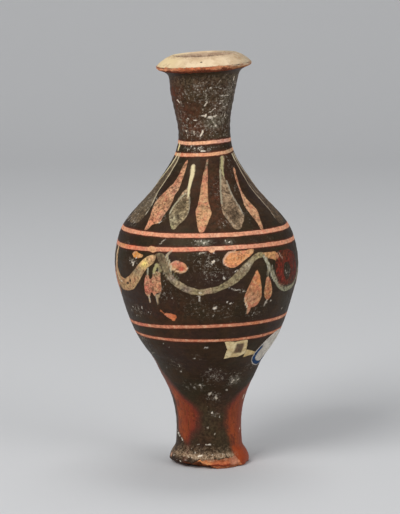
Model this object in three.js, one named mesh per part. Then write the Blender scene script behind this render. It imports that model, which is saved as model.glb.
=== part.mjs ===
// A small ancient perfume bottle (unguentarium) of fired clay, thrown on the wheel in one piece:
// flanged sloping lip, tapering neck, full rounded belly, short solid stem and a small flaring foot.
// It is hollow from the mouth down to the top of the stem. The lip sits a little askew, the whole
// bottle leans slightly, and the front-left of the foot's lower edge is broken away.
//
// Millimetres, +Z up. The origin is the centre of the flat underside. The front faces -Y.
import * as THREE from 'three';

// ---------------------------------------------------------------- driving dimensions
const HEIGHT = 158.9;            // to the edge of the mouth, on the axis
const LEAN = -0.015;             // sideways run of the axis for each mm of height (about 0.86 degrees)
const LIP_TILT = 0.058;          // rise of the lip towards +X for each mm (about 3.3 degrees)
const LIP_TILT_FROM = 141;       // the neck starts to turn askew here ...
const LIP_TILT_FULL = 151;       // ... and the lip is askew by the full amount from here
const NECK_BEND = -0.5;          // the neck also steps a little to the left ...
const NECK_BEND_FROM = 126;      // ... over this height
const NECK_BEND_FULL = 138;

const MOUTH_R = 12.4;            // edge of the mouth, the highest ring
const LIP_R = 18.3;              // widest ring of the lip
const LIP_EDGE_Z = 155.65;       // upper corner of the lip's edge
const LIP_EDGE_H = 1.3;          // height of the lip's upright edge
const LIP_ROOT_R = 14.0;         // where the lip's underside meets the neck
const LIP_ROOT_Z = 152.1;

const FOOT_R = 15.5;             // widest ring of the foot
const FOOT_EDGE_Z = 1.7;         // height of that ring
const FOOT_BASE_R = 14.9;        // edge of the flat underside
const FOOT_BEVEL = 0.45;         // small rounding between them
const FOOT_TOP_Z = 6.6;          // the foot's flare starts here
const FOOT_TOP_R = 13.1;

// Landmarks of the outer wall between foot and lip: height, radius, slope (radius per height)
const OUTER = {
  stemFoot:     { z: 9.4,    r: 12.78, m: -0.035 },
  stemWaist:    { z: 14.8,   r: 12.64, m: 0.010 },
  lowerBelly:   { z: 33.9,   r: 17.60, m: 0.547 },
  underBelly:   { z: 44.0,   r: 23.00, m: 0.785 },
  belly:        { z: 70.1,   r: 34.10, m: 0.305 },
  shoulder:     { z: 90.3,   r: 33.22, m: -0.340 },
  neckFlare:    { z: 109.3,  r: 18.38, m: -0.645 },
  neckRoot:     { z: 120.8,  r: 11.40, m: -0.405 },
  neckTop:      { z: 148.4,  r: 12.92, m: 0.105 },
};

// Landmarks of the cavity, from its floor to the inside of the mouth. The wall is about 3 mm thick
// in the neck and the belly, and thicker towards the stem, which is solid.
const CAVITY_FLOOR_Z = 27.0;
const INNER = {
  floorEdge:    { z: 29.2,   r: 5.2,   m: 1.10 },
  bottom:       { z: 38.0,   r: 14.2,  m: 0.88 },
  underBelly:   { z: 47.0,   r: 20.9,  m: 0.74 },
  belly:        { z: 70.1,   r: 30.80, m: 0.310 },
  shoulder:     { z: 90.0,   r: 29.80, m: -0.400 },
  neckFlare:    { z: 108.0,  r: 15.60, m: -0.700 },
  neckRoot:     { z: 119.0,  r: 8.30,  m: -0.400 },
  neck:         { z: 126.5,  r: 6.95,  m: 0.020 },
  neckTop:      { z: 147.5,  r: 9.40,  m: 0.130 },
  throat:       { z: 155.2,  r: 10.60, m: 0.220 },
};
const MOUTH_IN_R = 11.7;         // inner corner of the mouth's rounded edge
const MOUTH_IN_Z = 158.4;

// The break along the foot's lower edge: its height above the ground at angles from the front
// (degrees, negative to the left), and how far it runs in under the foot.
const BREAK_DEPTH = 5.4;
const BREAK = [
  { at: -128, h: 0 }, { at: -104, h: 1.0 }, { at: -84, h: 1.45 }, { at: -50, h: 1.75 },
  { at: -18, h: 2.5 }, { at: -3, h: 1.75 }, { at: 8, h: 0.4 }, { at: 13, h: 0 },
];

const AROUND = 56;               // facets round the bottle
const OUTER_STEP = 4.6;          // height between rings of the outer wall
const INNER_STEP = 7.5;          // height between rings of the cavity

// ---------------------------------------------------------------- profile
// A smooth wall through landmarks: a cubic between each two, with the slopes given.
function wall(landmarks, step) {
  const marks = Object.values(landmarks);
  const points = [];
  for (let i = 0; i < marks.length - 1; i++) {
    const a = marks[i], b = marks[i + 1], h = b.z - a.z;
    const n = Math.max(1, Math.round(h / step));
    for (let k = 0; k < n; k++) {
      const t = k / n, t2 = t * t, t3 = t2 * t;
      const r = (2 * t3 - 3 * t2 + 1) * a.r + (t3 - 2 * t2 + t) * h * a.m
              + (3 * t2 - 2 * t3) * b.r + (t3 - t2) * h * b.m;
      points.push(new THREE.Vector2(r, a.z + t * h));
    }
  }
  const last = marks[marks.length - 1];
  points.push(new THREE.Vector2(last.r, last.z));
  return points;
}

function profile() {
  const p = (r, z) => new THREE.Vector2(r, z);
  const underside = [0, 4.5, FOOT_BASE_R - BREAK_DEPTH, FOOT_BASE_R - 0.5 * BREAK_DEPTH, FOOT_BASE_R - 0.2 * BREAK_DEPTH]
    .map((r) => p(r, 0));
  const foot = [
    p(FOOT_BASE_R, 0), p(FOOT_R - 0.12, FOOT_BEVEL), p(FOOT_R, FOOT_EDGE_Z), p(FOOT_R - 0.35, 3.2),
    p(14.25, 4.9), p(FOOT_TOP_R, FOOT_TOP_Z),
  ];
  const lip = [
    p(13.3, 150.7), p(LIP_ROOT_R, LIP_ROOT_Z), p(LIP_R - 2.3, LIP_EDGE_Z - LIP_EDGE_H - 0.85),
    p(LIP_R - 0.2, LIP_EDGE_Z - LIP_EDGE_H), p(LIP_R, LIP_EDGE_Z - 0.55 * LIP_EDGE_H), p(LIP_R - 0.15, LIP_EDGE_Z),
    p((LIP_R + MOUTH_R) / 2 + 0.1, (LIP_EDGE_Z + HEIGHT) / 2 + 0.25), p(MOUTH_R + 0.5, HEIGHT - 0.18), p(MOUTH_R, HEIGHT),
    p(MOUTH_IN_R, MOUTH_IN_Z),
  ];
  const floor = [p(2.6, CAVITY_FLOOR_Z + 0.5), p(0, CAVITY_FLOOR_Z)];
  return [...underside, ...foot, ...wall(OUTER, OUTER_STEP), ...lip, ...wall(INNER, INNER_STEP).reverse(), ...floor];
}

// ---------------------------------------------------------------- what the hand and time did to it
const smooth = (t) => { const c = Math.min(1, Math.max(0, t)); return c * c * (3 - 2 * c); };

// Height of the break at an angle from the front, with a slightly jagged edge.
function breakHeight(deg) {
  for (let i = 0; i < BREAK.length - 1; i++) {
    const a = BREAK[i], b = BREAK[i + 1];
    if (deg >= a.at && deg <= b.at) {
      const h = a.h + (b.h - a.h) * smooth((deg - a.at) / (b.at - a.at));
      return h * (1 + 0.10 * Math.sin(deg * 0.31) + 0.07 * Math.sin(deg * 0.83 + 1));
    }
  }
  return 0;
}

function weather(geometry) {
  const pos = geometry.attributes.position, v = new THREE.Vector3();
  for (let i = 0; i < pos.count; i++) {
    v.fromBufferAttribute(pos, i);
    const r = Math.hypot(v.x, v.y);
    // the break: the underside and the lower edge of the foot rise in its sector
    if (v.z < FOOT_EDGE_Z + 2 && r > 1) {
      const deg = THREE.MathUtils.radToDeg(Math.atan2(v.x, -v.y));
      const h = breakHeight(deg) * smooth((r - (FOOT_BASE_R - BREAK_DEPTH)) / BREAK_DEPTH);
      if (v.z < 0.001) v.z += h;
      else if (h > 0) v.z = Math.max(v.z, h + 0.25 * v.z);
    }
    // the lip is askew, and the whole bottle leans
    v.z += v.x * LIP_TILT * smooth((v.z - LIP_TILT_FROM) / (LIP_TILT_FULL - LIP_TILT_FROM));
    v.x += LEAN * v.z + NECK_BEND * smooth((v.z - NECK_BEND_FROM) / (NECK_BEND_FULL - NECK_BEND_FROM));
    pos.setXYZ(i, v.x, v.y, v.z);
  }
  pos.needsUpdate = true;
  geometry.computeVertexNormals();
  return geometry;
}

// ---------------------------------------------------------------- the bottle
// The lathe turns about +Y, so it is stood up on +Z first.
const lathe = new THREE.LatheGeometry(profile(), AROUND);
lathe.rotateX(Math.PI / 2);
const bottle = new THREE.Mesh(
  weather(lathe),
  new THREE.MeshStandardMaterial({ color: new THREE.Color(0.045, 0.034, 0.026), roughness: 0.5, metalness: 0 }),
);
bottle.name = 'unguentarium_body';

const unguentarium = new THREE.Group();
unguentarium.add(bottle);
export default unguentarium;
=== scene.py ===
"""Looks for a small ancient perfume bottle of slipped and painted clay.

The bottle is one fine lathe mesh around the fixed frame. Its throwing marks, chips and broken foot edge
are mesh. The painted bands, tongues, garland and leaves are drawn as signed distances in millimetres on
the wall (negative inside a brush stroke), stored on the mesh, and the material turns them into worn paint.

Angles are degrees from the front (-Y), positive to the right (+X). Lengths here are millimetres.
"""
import math

import bpy
import numpy as np
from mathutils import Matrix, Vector


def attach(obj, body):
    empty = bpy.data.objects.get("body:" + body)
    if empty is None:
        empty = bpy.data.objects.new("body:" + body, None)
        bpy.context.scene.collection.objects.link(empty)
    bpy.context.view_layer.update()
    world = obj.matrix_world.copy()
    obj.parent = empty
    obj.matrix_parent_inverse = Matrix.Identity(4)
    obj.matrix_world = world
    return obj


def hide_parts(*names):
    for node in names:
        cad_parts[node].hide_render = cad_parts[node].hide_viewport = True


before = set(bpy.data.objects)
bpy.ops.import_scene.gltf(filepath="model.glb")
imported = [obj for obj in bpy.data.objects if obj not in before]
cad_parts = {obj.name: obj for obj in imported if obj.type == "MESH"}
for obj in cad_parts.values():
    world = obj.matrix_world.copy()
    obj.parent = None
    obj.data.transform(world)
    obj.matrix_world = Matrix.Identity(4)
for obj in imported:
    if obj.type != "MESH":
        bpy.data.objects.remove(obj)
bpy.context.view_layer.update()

MM = 0.001
AROUND = 252                      # columns round the bottle, closer together at the front
LEAN = -0.015
NECK_BEND = -0.5
LIP_TILT, LIP_TILT_FROM, LIP_TILT_FULL = 0.058, 141.0, 151.0

# Landmarks of the wall: height, radius, slope of the radius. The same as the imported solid's.
OUTER = [(9.4, 12.78, -0.035), (14.8, 12.64, 0.010), (33.9, 17.60, 0.547), (44.0, 23.00, 0.785),
         (70.1, 34.10, 0.305), (90.3, 33.22, -0.340), (109.3, 18.38, -0.645), (120.8, 11.40, -0.405),
         (148.4, 12.92, 0.105)]
INNER = [(29.2, 5.2, 1.10), (38.0, 14.2, 0.88), (47.0, 20.9, 0.74), (70.1, 30.80, 0.310), (90.0, 29.80, -0.400),
         (108.0, 15.60, -0.700), (119.0, 8.30, -0.400), (126.5, 6.95, 0.020), (147.5, 9.40, 0.130),
         (155.2, 10.60, 0.220)]


# ------------------------------------------------------------------------------------ small helpers
def smooth(t):
    t = np.clip(t, 0.0, 1.0)
    return t * t * (3 - 2 * t)


def window(x, lo, hi, soft):
    """1 between lo and hi, falling to 0 over soft on either side."""
    return smooth((x - lo) / soft + 0.5) * smooth((hi - x) / soft + 0.5)


def turn(d):
    """A difference of angles, wrapped to -180..180."""
    return (d + 180.0) % 360.0 - 180.0


def wall(marks, z):
    z = np.asarray(z, float)
    zs, rs, ms = (np.array(c, float) for c in zip(*marks))
    i = np.clip(np.searchsorted(zs, z) - 1, 0, len(zs) - 2)
    h = zs[i + 1] - zs[i]
    t = (z - zs[i]) / h
    return ((2 * t**3 - 3 * t**2 + 1) * rs[i] + (t**3 - 2 * t**2 + t) * h * ms[i]
            + (3 * t**2 - 2 * t**3) * rs[i + 1] + (t**3 - t**2) * h * ms[i + 1])


def curve(x, xs, ys):
    """A smooth curve through the points, by cubic pieces with no overshoot."""
    xs, ys = np.asarray(xs, float), np.asarray(ys, float)
    if xs[0] > xs[-1]:
        xs, ys = xs[::-1], ys[::-1]
    d = np.diff(ys) / np.diff(xs)
    m = np.zeros(len(xs))
    m[0], m[-1] = d[0], d[-1]
    for k in range(1, len(xs) - 1):
        m[k] = 0.0 if d[k - 1] * d[k] <= 0 else 2 * d[k - 1] * d[k] / (d[k - 1] + d[k])
    x = np.clip(x, xs[0], xs[-1])
    i = np.clip(np.searchsorted(xs, x) - 1, 0, len(xs) - 2)
    h = xs[i + 1] - xs[i]
    t = (x - xs[i]) / h
    return ((2 * t**3 - 3 * t**2 + 1) * ys[i] + (t**3 - 2 * t**2 + t) * h * m[i]
            + (3 * t**2 - 2 * t**3) * ys[i + 1] + (t**3 - t**2) * h * m[i + 1])


class Noise:
    """Smooth seeded noise in space, -1 to 1."""

    def __init__(self, seed, n=40):
        self.n, self.t = n, np.random.RandomState(seed).uniform(-1, 1, (n, n, n))

    def __call__(self, x, y, z, octaves=1):
        total, amp, norm = 0.0, 1.0, 0.0
        for o in range(octaves):
            total = total + amp * self._one(x * 2**o + 7.3 * o, y * 2**o + 3.1 * o, z * 2**o + 5.7 * o)
            norm += amp
            amp *= 0.5
        return total / norm

    def _one(self, x, y, z):
        x, y, z = np.broadcast_arrays(np.asarray(x, float), y, z)
        out, f, i = 0.0, [], []
        for c in (x, y, z):
            b = np.floor(c)
            i.append(b.astype(int))
            t = c - b
            f.append(t * t * t * (t * (t * 6 - 15) + 10))
        for a in (0, 1):
            for b in (0, 1):
                for c in (0, 1):
                    w = ((f[0] if a else 1 - f[0]) * (f[1] if b else 1 - f[1]) * (f[2] if c else 1 - f[2]))
                    out = out + w * self.t[(i[0] + a) % self.n, (i[1] + b) % self.n, (i[2] + c) % self.n]
        return out


# ------------------------------------------------------------------------------------ the profile
def soften(points, rounds=2, cut=0.24):
    """Corner cutting: rounds the arrises of an open outline and keeps its ends."""
    p = np.asarray(points, float)
    for _ in range(rounds):
        a, b = p[:-1], p[1:]
        q = np.empty((2 * len(a), 2))
        q[0::2], q[1::2] = a + cut * (b - a), b - cut * (b - a)
        p = np.vstack([p[:1], q, p[-1:]])
    return p


def spaced(points, step):
    """The outline again, with points about step apart. step is a number, or a function of the height."""
    p = np.asarray(points, float)
    ds = np.hypot(*np.diff(p, axis=0).T)
    mid = 0.5 * (p[1:, 1] + p[:-1, 1])
    pace = ds / (step(mid) if callable(step) else step)
    s = np.concatenate([[0], np.cumsum(pace)])
    n = max(1, int(round(s[-1])))
    at = np.linspace(0, s[-1], n + 1)
    return np.column_stack([np.interp(at, s, p[:, 0]), np.interp(at, s, p[:, 1])])


def wall_step(z):
    return np.interp(z, [9, 12, 26, 46, 52, 88, 93, 112, 120, 149], [0.5, 0.8, 0.9, 0.85, 0.66, 0.66, 0.60, 0.60, 0.47, 0.47])


z_wall = np.arange(9.4, 148.4 + 0.01, 0.25)
wall_points = np.column_stack([wall(OUTER, z_wall), z_wall])
z_in = np.arange(155.2, 29.2 - 0.01, -0.25)
inner_points = np.column_stack([wall(INNER, z_in), z_in])
foot_points = soften([(13.6, 0.0), (14.9, 0.0), (15.38, 0.45), (15.5, 1.7), (15.15, 3.2), (14.25, 4.9), (13.1, 6.6),
                      (12.83, 8.0), (12.78, 9.4)])
lip_points = soften([(12.92, 148.4), (13.3, 150.7), (14.0, 152.1), (16.0, 153.5), (18.1, 154.35), (18.3, 154.935),
                     (18.15, 155.65), (15.45, 157.525), (12.9, 158.72), (12.4, 158.9), (11.7, 158.4), (11.1, 157.2),
                     (10.6, 155.2)])
throat = inner_points[inner_points[:, 1] >= 136.0]
deep = inner_points[inner_points[:, 1] <= 136.01]

PARTS = [("underside", spaced([(0.0, 0.0), (8.6, 0.0)], 2.1)), ("underedge", spaced([(8.6, 0.0), (13.6, 0.0)], 0.7)),
         ("foot", spaced(foot_points, 0.40)), ("wall", spaced(wall_points, wall_step)), ("lip", spaced(lip_points, 0.37)),
         ("throat", spaced(throat, 1.0)), ("deep", spaced(deep, 8.0)), ("floor", spaced([(5.2, 29.2), (2.6, 27.5), (0.0, 27.0)], 2.6))]
rows, part_of = [], []
for name, pts in PARTS:
    for k, p in enumerate(pts):
        if rows and k == 0:
            continue
        rows.append(p)
        part_of.append(name)
rows = np.array(rows)
part_of = np.array(part_of)
row_r, row_z = rows[:, 0], rows[:, 1]
path = np.concatenate([[0], np.cumsum(np.hypot(np.diff(row_r), np.diff(row_z)))])
tangent = np.gradient(rows, path, axis=0)
tangent /= np.maximum(np.hypot(tangent[:, 0], tangent[:, 1]), 1e-9)[:, None]
row_nr, row_nz = tangent[:, 1], -tangent[:, 0]     # outward from the clay, on the outer wall and inside alike
print("mesh rows", len(rows), "triangles about", 2 * AROUND * len(rows))

arris = int(np.argmin(np.where(part_of == "lip", np.hypot(row_r - 18.15, row_z - 155.65), 99)))
mouth_edge = int(np.argmin(np.where(part_of == "lip", np.hypot(row_r - 12.4, row_z - 158.9), 99)))
out_rows = np.where(np.isin(part_of, ["foot", "wall", "lip"]) & (np.arange(len(rows)) <= arris))[0]


def height_path(z):
    """Length along the outer wall at a height."""
    return np.interp(z, row_z[out_rows], path[out_rows])


# columns: evenly spaced over the front, twice as far apart at the back
turn_at = np.linspace(-180, 180, 7201)
weight = 1.0 / (1.0 + 1.1 * smooth((np.abs(turn_at) - 96) / 55))
share_at = np.concatenate([[0], np.cumsum(0.5 * (weight[1:] + weight[:-1]))])
col_phi = np.interp(np.arange(AROUND) / AROUND, share_at / share_at[-1], turn_at)
col_gap = np.interp(col_phi, turn_at, 1 / weight) * (360.0 / AROUND) * (np.mean(weight))

PHI = np.broadcast_to(col_phi, (len(rows), AROUND))
RR = np.broadcast_to(row_r[:, None], PHI.shape)
ZZ = np.broadcast_to(row_z[:, None], PHI.shape)
LL = np.broadcast_to(path[:, None], PHI.shape)
ARC = np.radians(1.0) * RR                           # millimetres for each degree
GAP = np.maximum(ARC * col_gap[None, :], np.broadcast_to(np.gradient(path)[:, None], PHI.shape))
UX, UY = np.sin(np.radians(PHI)), -np.cos(np.radians(PHI))
PX, PY = RR * UX, RR * UY
OUT = np.broadcast_to((np.arange(len(rows)) <= arris)[:, None] & ~np.isin(part_of, ["underside", "underedge"])[:, None], PHI.shape)


# ------------------------------------------------------------------------------------ the shape
n1, n2, n3 = Noise(11), Noise(23), Noise(37)
lump = n1(PX / 22, PY / 22, ZZ / 26, 2)
fine = n2(PX / 3.1, PY / 3.1, ZZ / 2.4, 3)
ridge_at = ZZ + 0.5 * n3(PX / 14, PY / 14, ZZ / 9)
ridges = (np.sin(ridge_at * 2 * np.pi / 3.7) * (0.5 + 0.5 * n1(PX / 12 + 5, PY / 12, ZZ / 6))
          + 0.5 * np.sin(ridge_at * 2 * np.pi / 1.45 + 1.3) * smooth(0.5 + n2(PX / 9, PY / 9 + 3, ZZ / 4)))
body = np.isin(part_of, ["wall", "foot"])[:, None].astype(float)
taper_ends = window(ZZ, 9.0, 149.0, 3.0)
shift = body * taper_ends * (0.14 * lump + 0.045 * ridges + 0.024 * fine)
neck = window(ZZ, 122.0, 147.0, 6.0) * body
shift = shift + neck * (0.06 * n3(PX / 4.2, PY / 4.2, ZZ / 3.0, 3) + 0.05 * np.sin(ridge_at * 2 * np.pi / 2.6))

# the uneven thrown lip, and the flakes lost along its lower edge
lip_rows = (part_of == "lip")[:, None].astype(float)
from_edge = LL - path[arris]                           # along the profile from the lip's upper arris
under_edge = np.exp(-((from_edge + 1.25) / 1.15) ** 2) * lip_rows
flake = n1(UX * 18.2 / 2.6, UY * 18.2 / 2.6, 3.3 + ZZ / 5.0, 3)
flake2 = n2(UX * 18.2 / 1.3, UY * 18.2 / 1.3, 8.3 + ZZ / 2.6, 2)
chipped = window(turn(PHI + 8), -74, 66, 24)
shift = shift - under_edge * (0.04 + 0.75 * chipped * smooth((flake + 0.15) / 0.8) + (0.08 + 0.34 * chipped) * smooth((flake2 + 0.1) / 0.7))
on_top = window(from_edge, 0.6, path[mouth_edge] - path[arris] + 1.0, 1.0) * lip_rows
shift = shift + on_top * (0.09 * n3(PX / 6, PY / 6, ZZ / 4, 2) + 0.035 * np.sin(RR * 2 * np.pi / 2.3 + 0.6 * lump))
for at, mm, deep_mm in [(-118, 2.2, 0.55), (-171, 3.0, 0.7), (128, 1.6, 0.4), (104, 2.4, 0.4)]:
    shift = shift - lip_rows * deep_mm * np.exp(-(turn(PHI - at) * ARC / mm) ** 2 - ((from_edge + 0.2) / 1.3) ** 2)
# the mouth's inner edge is worn and uneven
rim_in = np.exp(-((LL - path[mouth_edge] - 1.2) / 1.0) ** 2)
shift = shift - rim_in * 0.32 * smooth((n2(UX * 5.2, UY * 5.2, 4.4, 3) + 0.05) / 0.5)
inner_wall = np.isin(part_of, ["throat", "deep"])[:, None].astype(float)
shift = shift + inner_wall * (0.10 * lump + 0.07 * np.sin(ridge_at * 2 * np.pi / 3.1))

# small dents and lost grains in the wall: angle, height, radius, depth
PITS = [(-26.8, 62.8, 1.9, 0.34), (-24.0, 62.4, 1.2, 0.25), (-40.0, 98.0, 1.6, 0.10), (5.8, 22.0, 0.8, 0.22), (35.0, 35.4, 1.3, 0.3),
        (14.0, 97.0, 0.9, 0.16), (-70.0, 52.0, 1.2, 0.2), (150.0, 78.0, 2.0, 0.34), (-140.0, 60.0, 1.5, 0.3), (118.0, 99.0, 1.3, 0.24),
        (172.0, 40.0, 1.8, 0.3), (-105.0, 88.0, 1.2, 0.24), (96.0, 62.0, 1.0, 0.2), (-3.0, 92.0, 1.4, 0.14), (-33.5, 68.0, 1.6, 0.1)]
for at, z0, size, depth in PITS:
    d2 = (turn(PHI - at) * ARC) ** 2 + (LL - height_path(z0)) ** 2
    shift = shift - body * depth * np.exp(-((np.sqrt(d2) / size) ** 3))
speck = Noise(71, 56)
grains = speck(PX / 1.35, PY / 1.35, ZZ / 1.35)
shift = shift - body * taper_ends * 0.13 * smooth((grains - 0.62) / 0.3)

# the foot: a broken sector at the front left, and flakes lost along the lower edge to its right
BREAK = [(-128, 0), (-104, 1.0), (-84, 1.45), (-50, 1.75), (-18, 2.5), (-3, 1.75), (8, 0.4), (13, 0)]


def break_height(deg):
    out = np.zeros_like(deg)
    for (a, ha), (b, hb) in zip(BREAK[:-1], BREAK[1:]):
        m = (deg >= a) & (deg <= b)
        h = ha + (hb - ha) * smooth((deg - a) / (b - a))
        out = np.where(m, h * (1 + 0.10 * np.sin(deg * 0.31) + 0.07 * np.sin(deg * 0.83 + 1)), out)
    return out


foot_rows = np.isin(part_of, ["foot", "underedge", "underside"])[:, None]
foot_only = (part_of == "foot")[:, None]
chip_side = window(PHI, -20, 50, 12) * smooth((4.9 - ZZ) / 2.2) * foot_only
steps_cut = 0.5 + 0.5 * np.tanh(6 * np.sin(ZZ * 2.1 + 2.2 * n1(UX * 2.4, UY * 2.4, 1.0, 2) + 0.8))   # two or three ledges
facet = np.abs(np.sin(np.radians(PHI) * 5.3 + 0.7)) * 0.35 + 0.65
shift = shift - chip_side * (0.70 * facet + 0.50 * steps_cut + 0.30 * n2(PX / 1.7, PY / 1.7, ZZ / 0.8, 2))
shift = shift - foot_only * smooth((2.6 - ZZ) / 2.2) * smooth((ZZ + 0.4) / 0.5) * 0.30 * smooth((n1(UX * 4.3, UY * 4.3, 2.2, 2) - 0.05) / 0.5)

R = RR + shift * row_nr[:, None]
Z = ZZ + shift * row_nz[:, None]
R = np.where(foot_rows & (ZZ < 0.02), RR - 0.0 * R, R)
Z = np.where(foot_rows & (ZZ < 0.02), 0.0, Z)
# the underside follows a flaked edge inwards, so the wall never folds over it
edge_r = R[part_of == "foot"][:6].min(axis=0)
under = (np.isin(part_of, ["underside", "underedge"])[:, None] | (foot_rows & (ZZ < 0.02)))
R = np.where(under, np.minimum(R, np.broadcast_to(edge_r, R.shape) * (RR / RR[under].max())), R)
fold = break_height(turn(PHI)) * smooth((RR - 9.5) / 5.4)
rough = 1.0 + 0.22 * n1(PX / 2.1, PY / 2.1, 0.7, 3) + 0.10 * n2(PX / 0.9, PY / 0.9, 0.2, 2)
low = foot_rows & (ZZ < 3.7) & (RR > 1)
Z = np.where(low & (ZZ < 0.02), Z + fold * rough, np.where(low & (fold > 0), np.maximum(Z, fold * rough + 0.25 * Z), Z))
Z = np.maximum(Z, 0.0)

X, Y = R * UX, R * UY
Z = Z + X * LIP_TILT * smooth((Z - LIP_TILT_FROM) / (LIP_TILT_FULL - LIP_TILT_FROM))
Z = Z - 0.34 * lip_rows * smooth((RR - 14.0) / 4.0) * (0.2 + 0.8 * np.abs(UX))     # the lip's edge droops a little at its sides
X = X + LEAN * Z + NECK_BEND * smooth((Z - 126.0) / 12.0) + 0.62 * smooth((ZZ - 143.0) / 9.0) * ~(part_of == "deep")[:, None]


# ------------------------------------------------------------------------------------ the drawing
def blob(at, z0, wide, high, amount=1.0):
    """A soft spot on the wall, 1 in its middle."""
    x, y = turn(PHI - at) * ARC, LL - height_path(z0)
    return amount * np.exp(-((x / wide) ** 2) - (y / high) ** 2)


class Paint:
    """Brush strokes. sd is the distance in millimetres to the nearest stroke's edge, negative inside it; the colour is as seen on a screen."""

    def __init__(self):
        self.sd = np.full(PHI.shape, 60.0)
        self.colour = np.zeros(PHI.shape + (3,))
        self.cover, self.wear, self.warm = np.ones(PHI.shape), np.zeros(PHI.shape), np.zeros(PHI.shape)

    def add(self, sd, colour, cover=0.92, wear=0.3, warm=1.0):
        near = sd < self.sd
        self.sd = np.where(near, sd, self.sd)
        self.colour = np.where(near[..., None], np.array(colour, float), self.colour)
        self.cover, self.wear, self.warm = (np.where(near, v, a) for v, a in ((cover, self.cover), (wear, self.wear), (warm, self.warm)))

    def tint(self, amount, colour):
        a = np.clip(amount, 0, 1)[..., None]
        self.colour = self.colour * (1 - a) + np.array(colour, float) * a

    def dim(self, where, factor):
        self.colour = self.colour * np.where(where, factor, 1.0)[..., None]

    def fade(self, amount, cover):
        a = np.clip(amount, 0, 1)
        self.cover = self.cover * (1 - a) + cover * a

    def rub(self, amount, wear):
        a = np.clip(amount, 0, 1)
        self.wear = self.wear * (1 - a) + wear * a


class Lines:
    """Thin lines and small marks: how much each point of the wall is covered, and in what colour."""

    def __init__(self):
        self.cover = np.zeros(PHI.shape)
        self.colour = np.full(PHI.shape + (3,), 230.0)

    def add(self, sd, colour, strength=1.0):
        soft = np.clip(0.8 * GAP, 0.26, 0.9)
        a = strength * np.clip(1.0 - (sd + 0.18) / soft, 0, 1)
        near = a > self.cover
        self.cover = np.where(near, a, self.cover)
        self.colour = np.where(near[..., None], np.array(colour, float), self.colour)


def spot(at, z0, rx, ry, tilt=0.0):
    """Signed distance, roughly, to an ellipse on the wall."""
    x, y = turn(PHI - at) * ARC, LL - height_path(z0)
    c, s = math.cos(math.radians(tilt)), math.sin(math.radians(tilt))
    u, v = x * c + y * s, -x * s + y * c
    k = np.sqrt((u / rx) ** 2 + (v / ry) ** 2)
    return (k - 1) * min(rx, ry)


def stroke(points, width, steps=10, reach=8.0):
    """Distance to a line through (angle, height) points, less half its width. width is a number or one for each point."""
    p = np.array(points, float)
    if len(p) == 1:
        p = np.vstack([p, p + [0.01, 0.01]])
        width = np.broadcast_to(width, (2,))
    x0 = p[:, 0].mean()
    k = np.arange(len(p))
    t = np.linspace(0, len(p) - 1, (len(p) - 1) * steps + 1)
    a, z = curve(t, k, p[:, 0]), curve(t, k, p[:, 1])
    w = np.interp(t, k, np.broadcast_to(width, (len(p),)))
    y = height_path(z)
    sx = (a - x0) * np.interp(z, row_z[out_rows], row_r[out_rows]) * math.radians(1)
    vx, vy = turn(PHI - x0) * ARC, LL
    keep = (vx > sx.min() - reach) & (vx < sx.max() + reach) & (vy > y.min() - reach) & (vy < y.max() + reach) & OUT
    vx, vy = vx[keep], vy[keep]
    best = np.full(vx.shape, 60.0)
    for i in range(len(sx) - 1):
        ax, ay, bx, by = sx[i], y[i], sx[i + 1], y[i + 1]
        l2 = max((bx - ax) ** 2 + (by - ay) ** 2, 1e-9)
        f = np.clip(((vx - ax) * (bx - ax) + (vy - ay) * (by - ay)) / l2, 0, 1)
        d = np.hypot(vx - ax - f * (bx - ax), vy - ay - f * (by - ay)) - 0.5 * (w[i] + f * (w[i + 1] - w[i]))
        best = np.minimum(best, d)
    out = np.full(PHI.shape, 60.0)
    out[keep] = best
    return out


def patch(outline, rounding=3, reach=8.0):
    """Signed distance to a closed shape through (angle, height) points, its corners a little rounded."""
    p = np.array(outline, float)
    n = len(p)
    t = np.arange(rounding) / rounding
    a, b, c, d = np.roll(p, 1, 0), p, np.roll(p, -1, 0), np.roll(p, -2, 0)
    q = 0.5 * ((2 * b)[:, None] + (c - a)[:, None] * t[None, :, None] + (2 * a - 5 * b + 4 * c - d)[:, None] * t[None, :, None] ** 2
               + (3 * b - a - 3 * c + d)[:, None] * t[None, :, None] ** 3)
    q = q.reshape(-1, 2)
    x0 = q[:, 0].mean()
    sx = (q[:, 0] - x0) * np.interp(q[:, 1], row_z[out_rows], row_r[out_rows]) * math.radians(1)
    sy = height_path(q[:, 1])
    vx, vy = turn(PHI - x0) * ARC, LL
    keep = (vx > sx.min() - reach) & (vx < sx.max() + reach) & (vy > sy.min() - reach) & (vy < sy.max() + reach) & OUT
    vx, vy = vx[keep], vy[keep]
    best, within = np.full(vx.shape, 1e9), np.zeros(vx.shape, bool)
    for i in range(len(sx)):
        ax, ay, bx, by = sx[i], sy[i], sx[(i + 1) % len(sx)], sy[(i + 1) % len(sx)]
        l2 = max((bx - ax) ** 2 + (by - ay) ** 2, 1e-9)
        f = np.clip(((vx - ax) * (bx - ax) + (vy - ay) * (by - ay)) / l2, 0, 1)
        best = np.minimum(best, (vx - ax - f * (bx - ax)) ** 2 + (vy - ay - f * (by - ay)) ** 2)
        if ay != by:
            crosses = ((ay > vy) != (by > vy)) & (vx < (bx - ax) * (vy - ay) / (by - ay) + ax)
            within ^= crosses
    sd = np.sqrt(best) * np.where(within, -1, 1)
    out = np.full(PHI.shape, 60.0)
    out[keep] = sd
    return out


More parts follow.
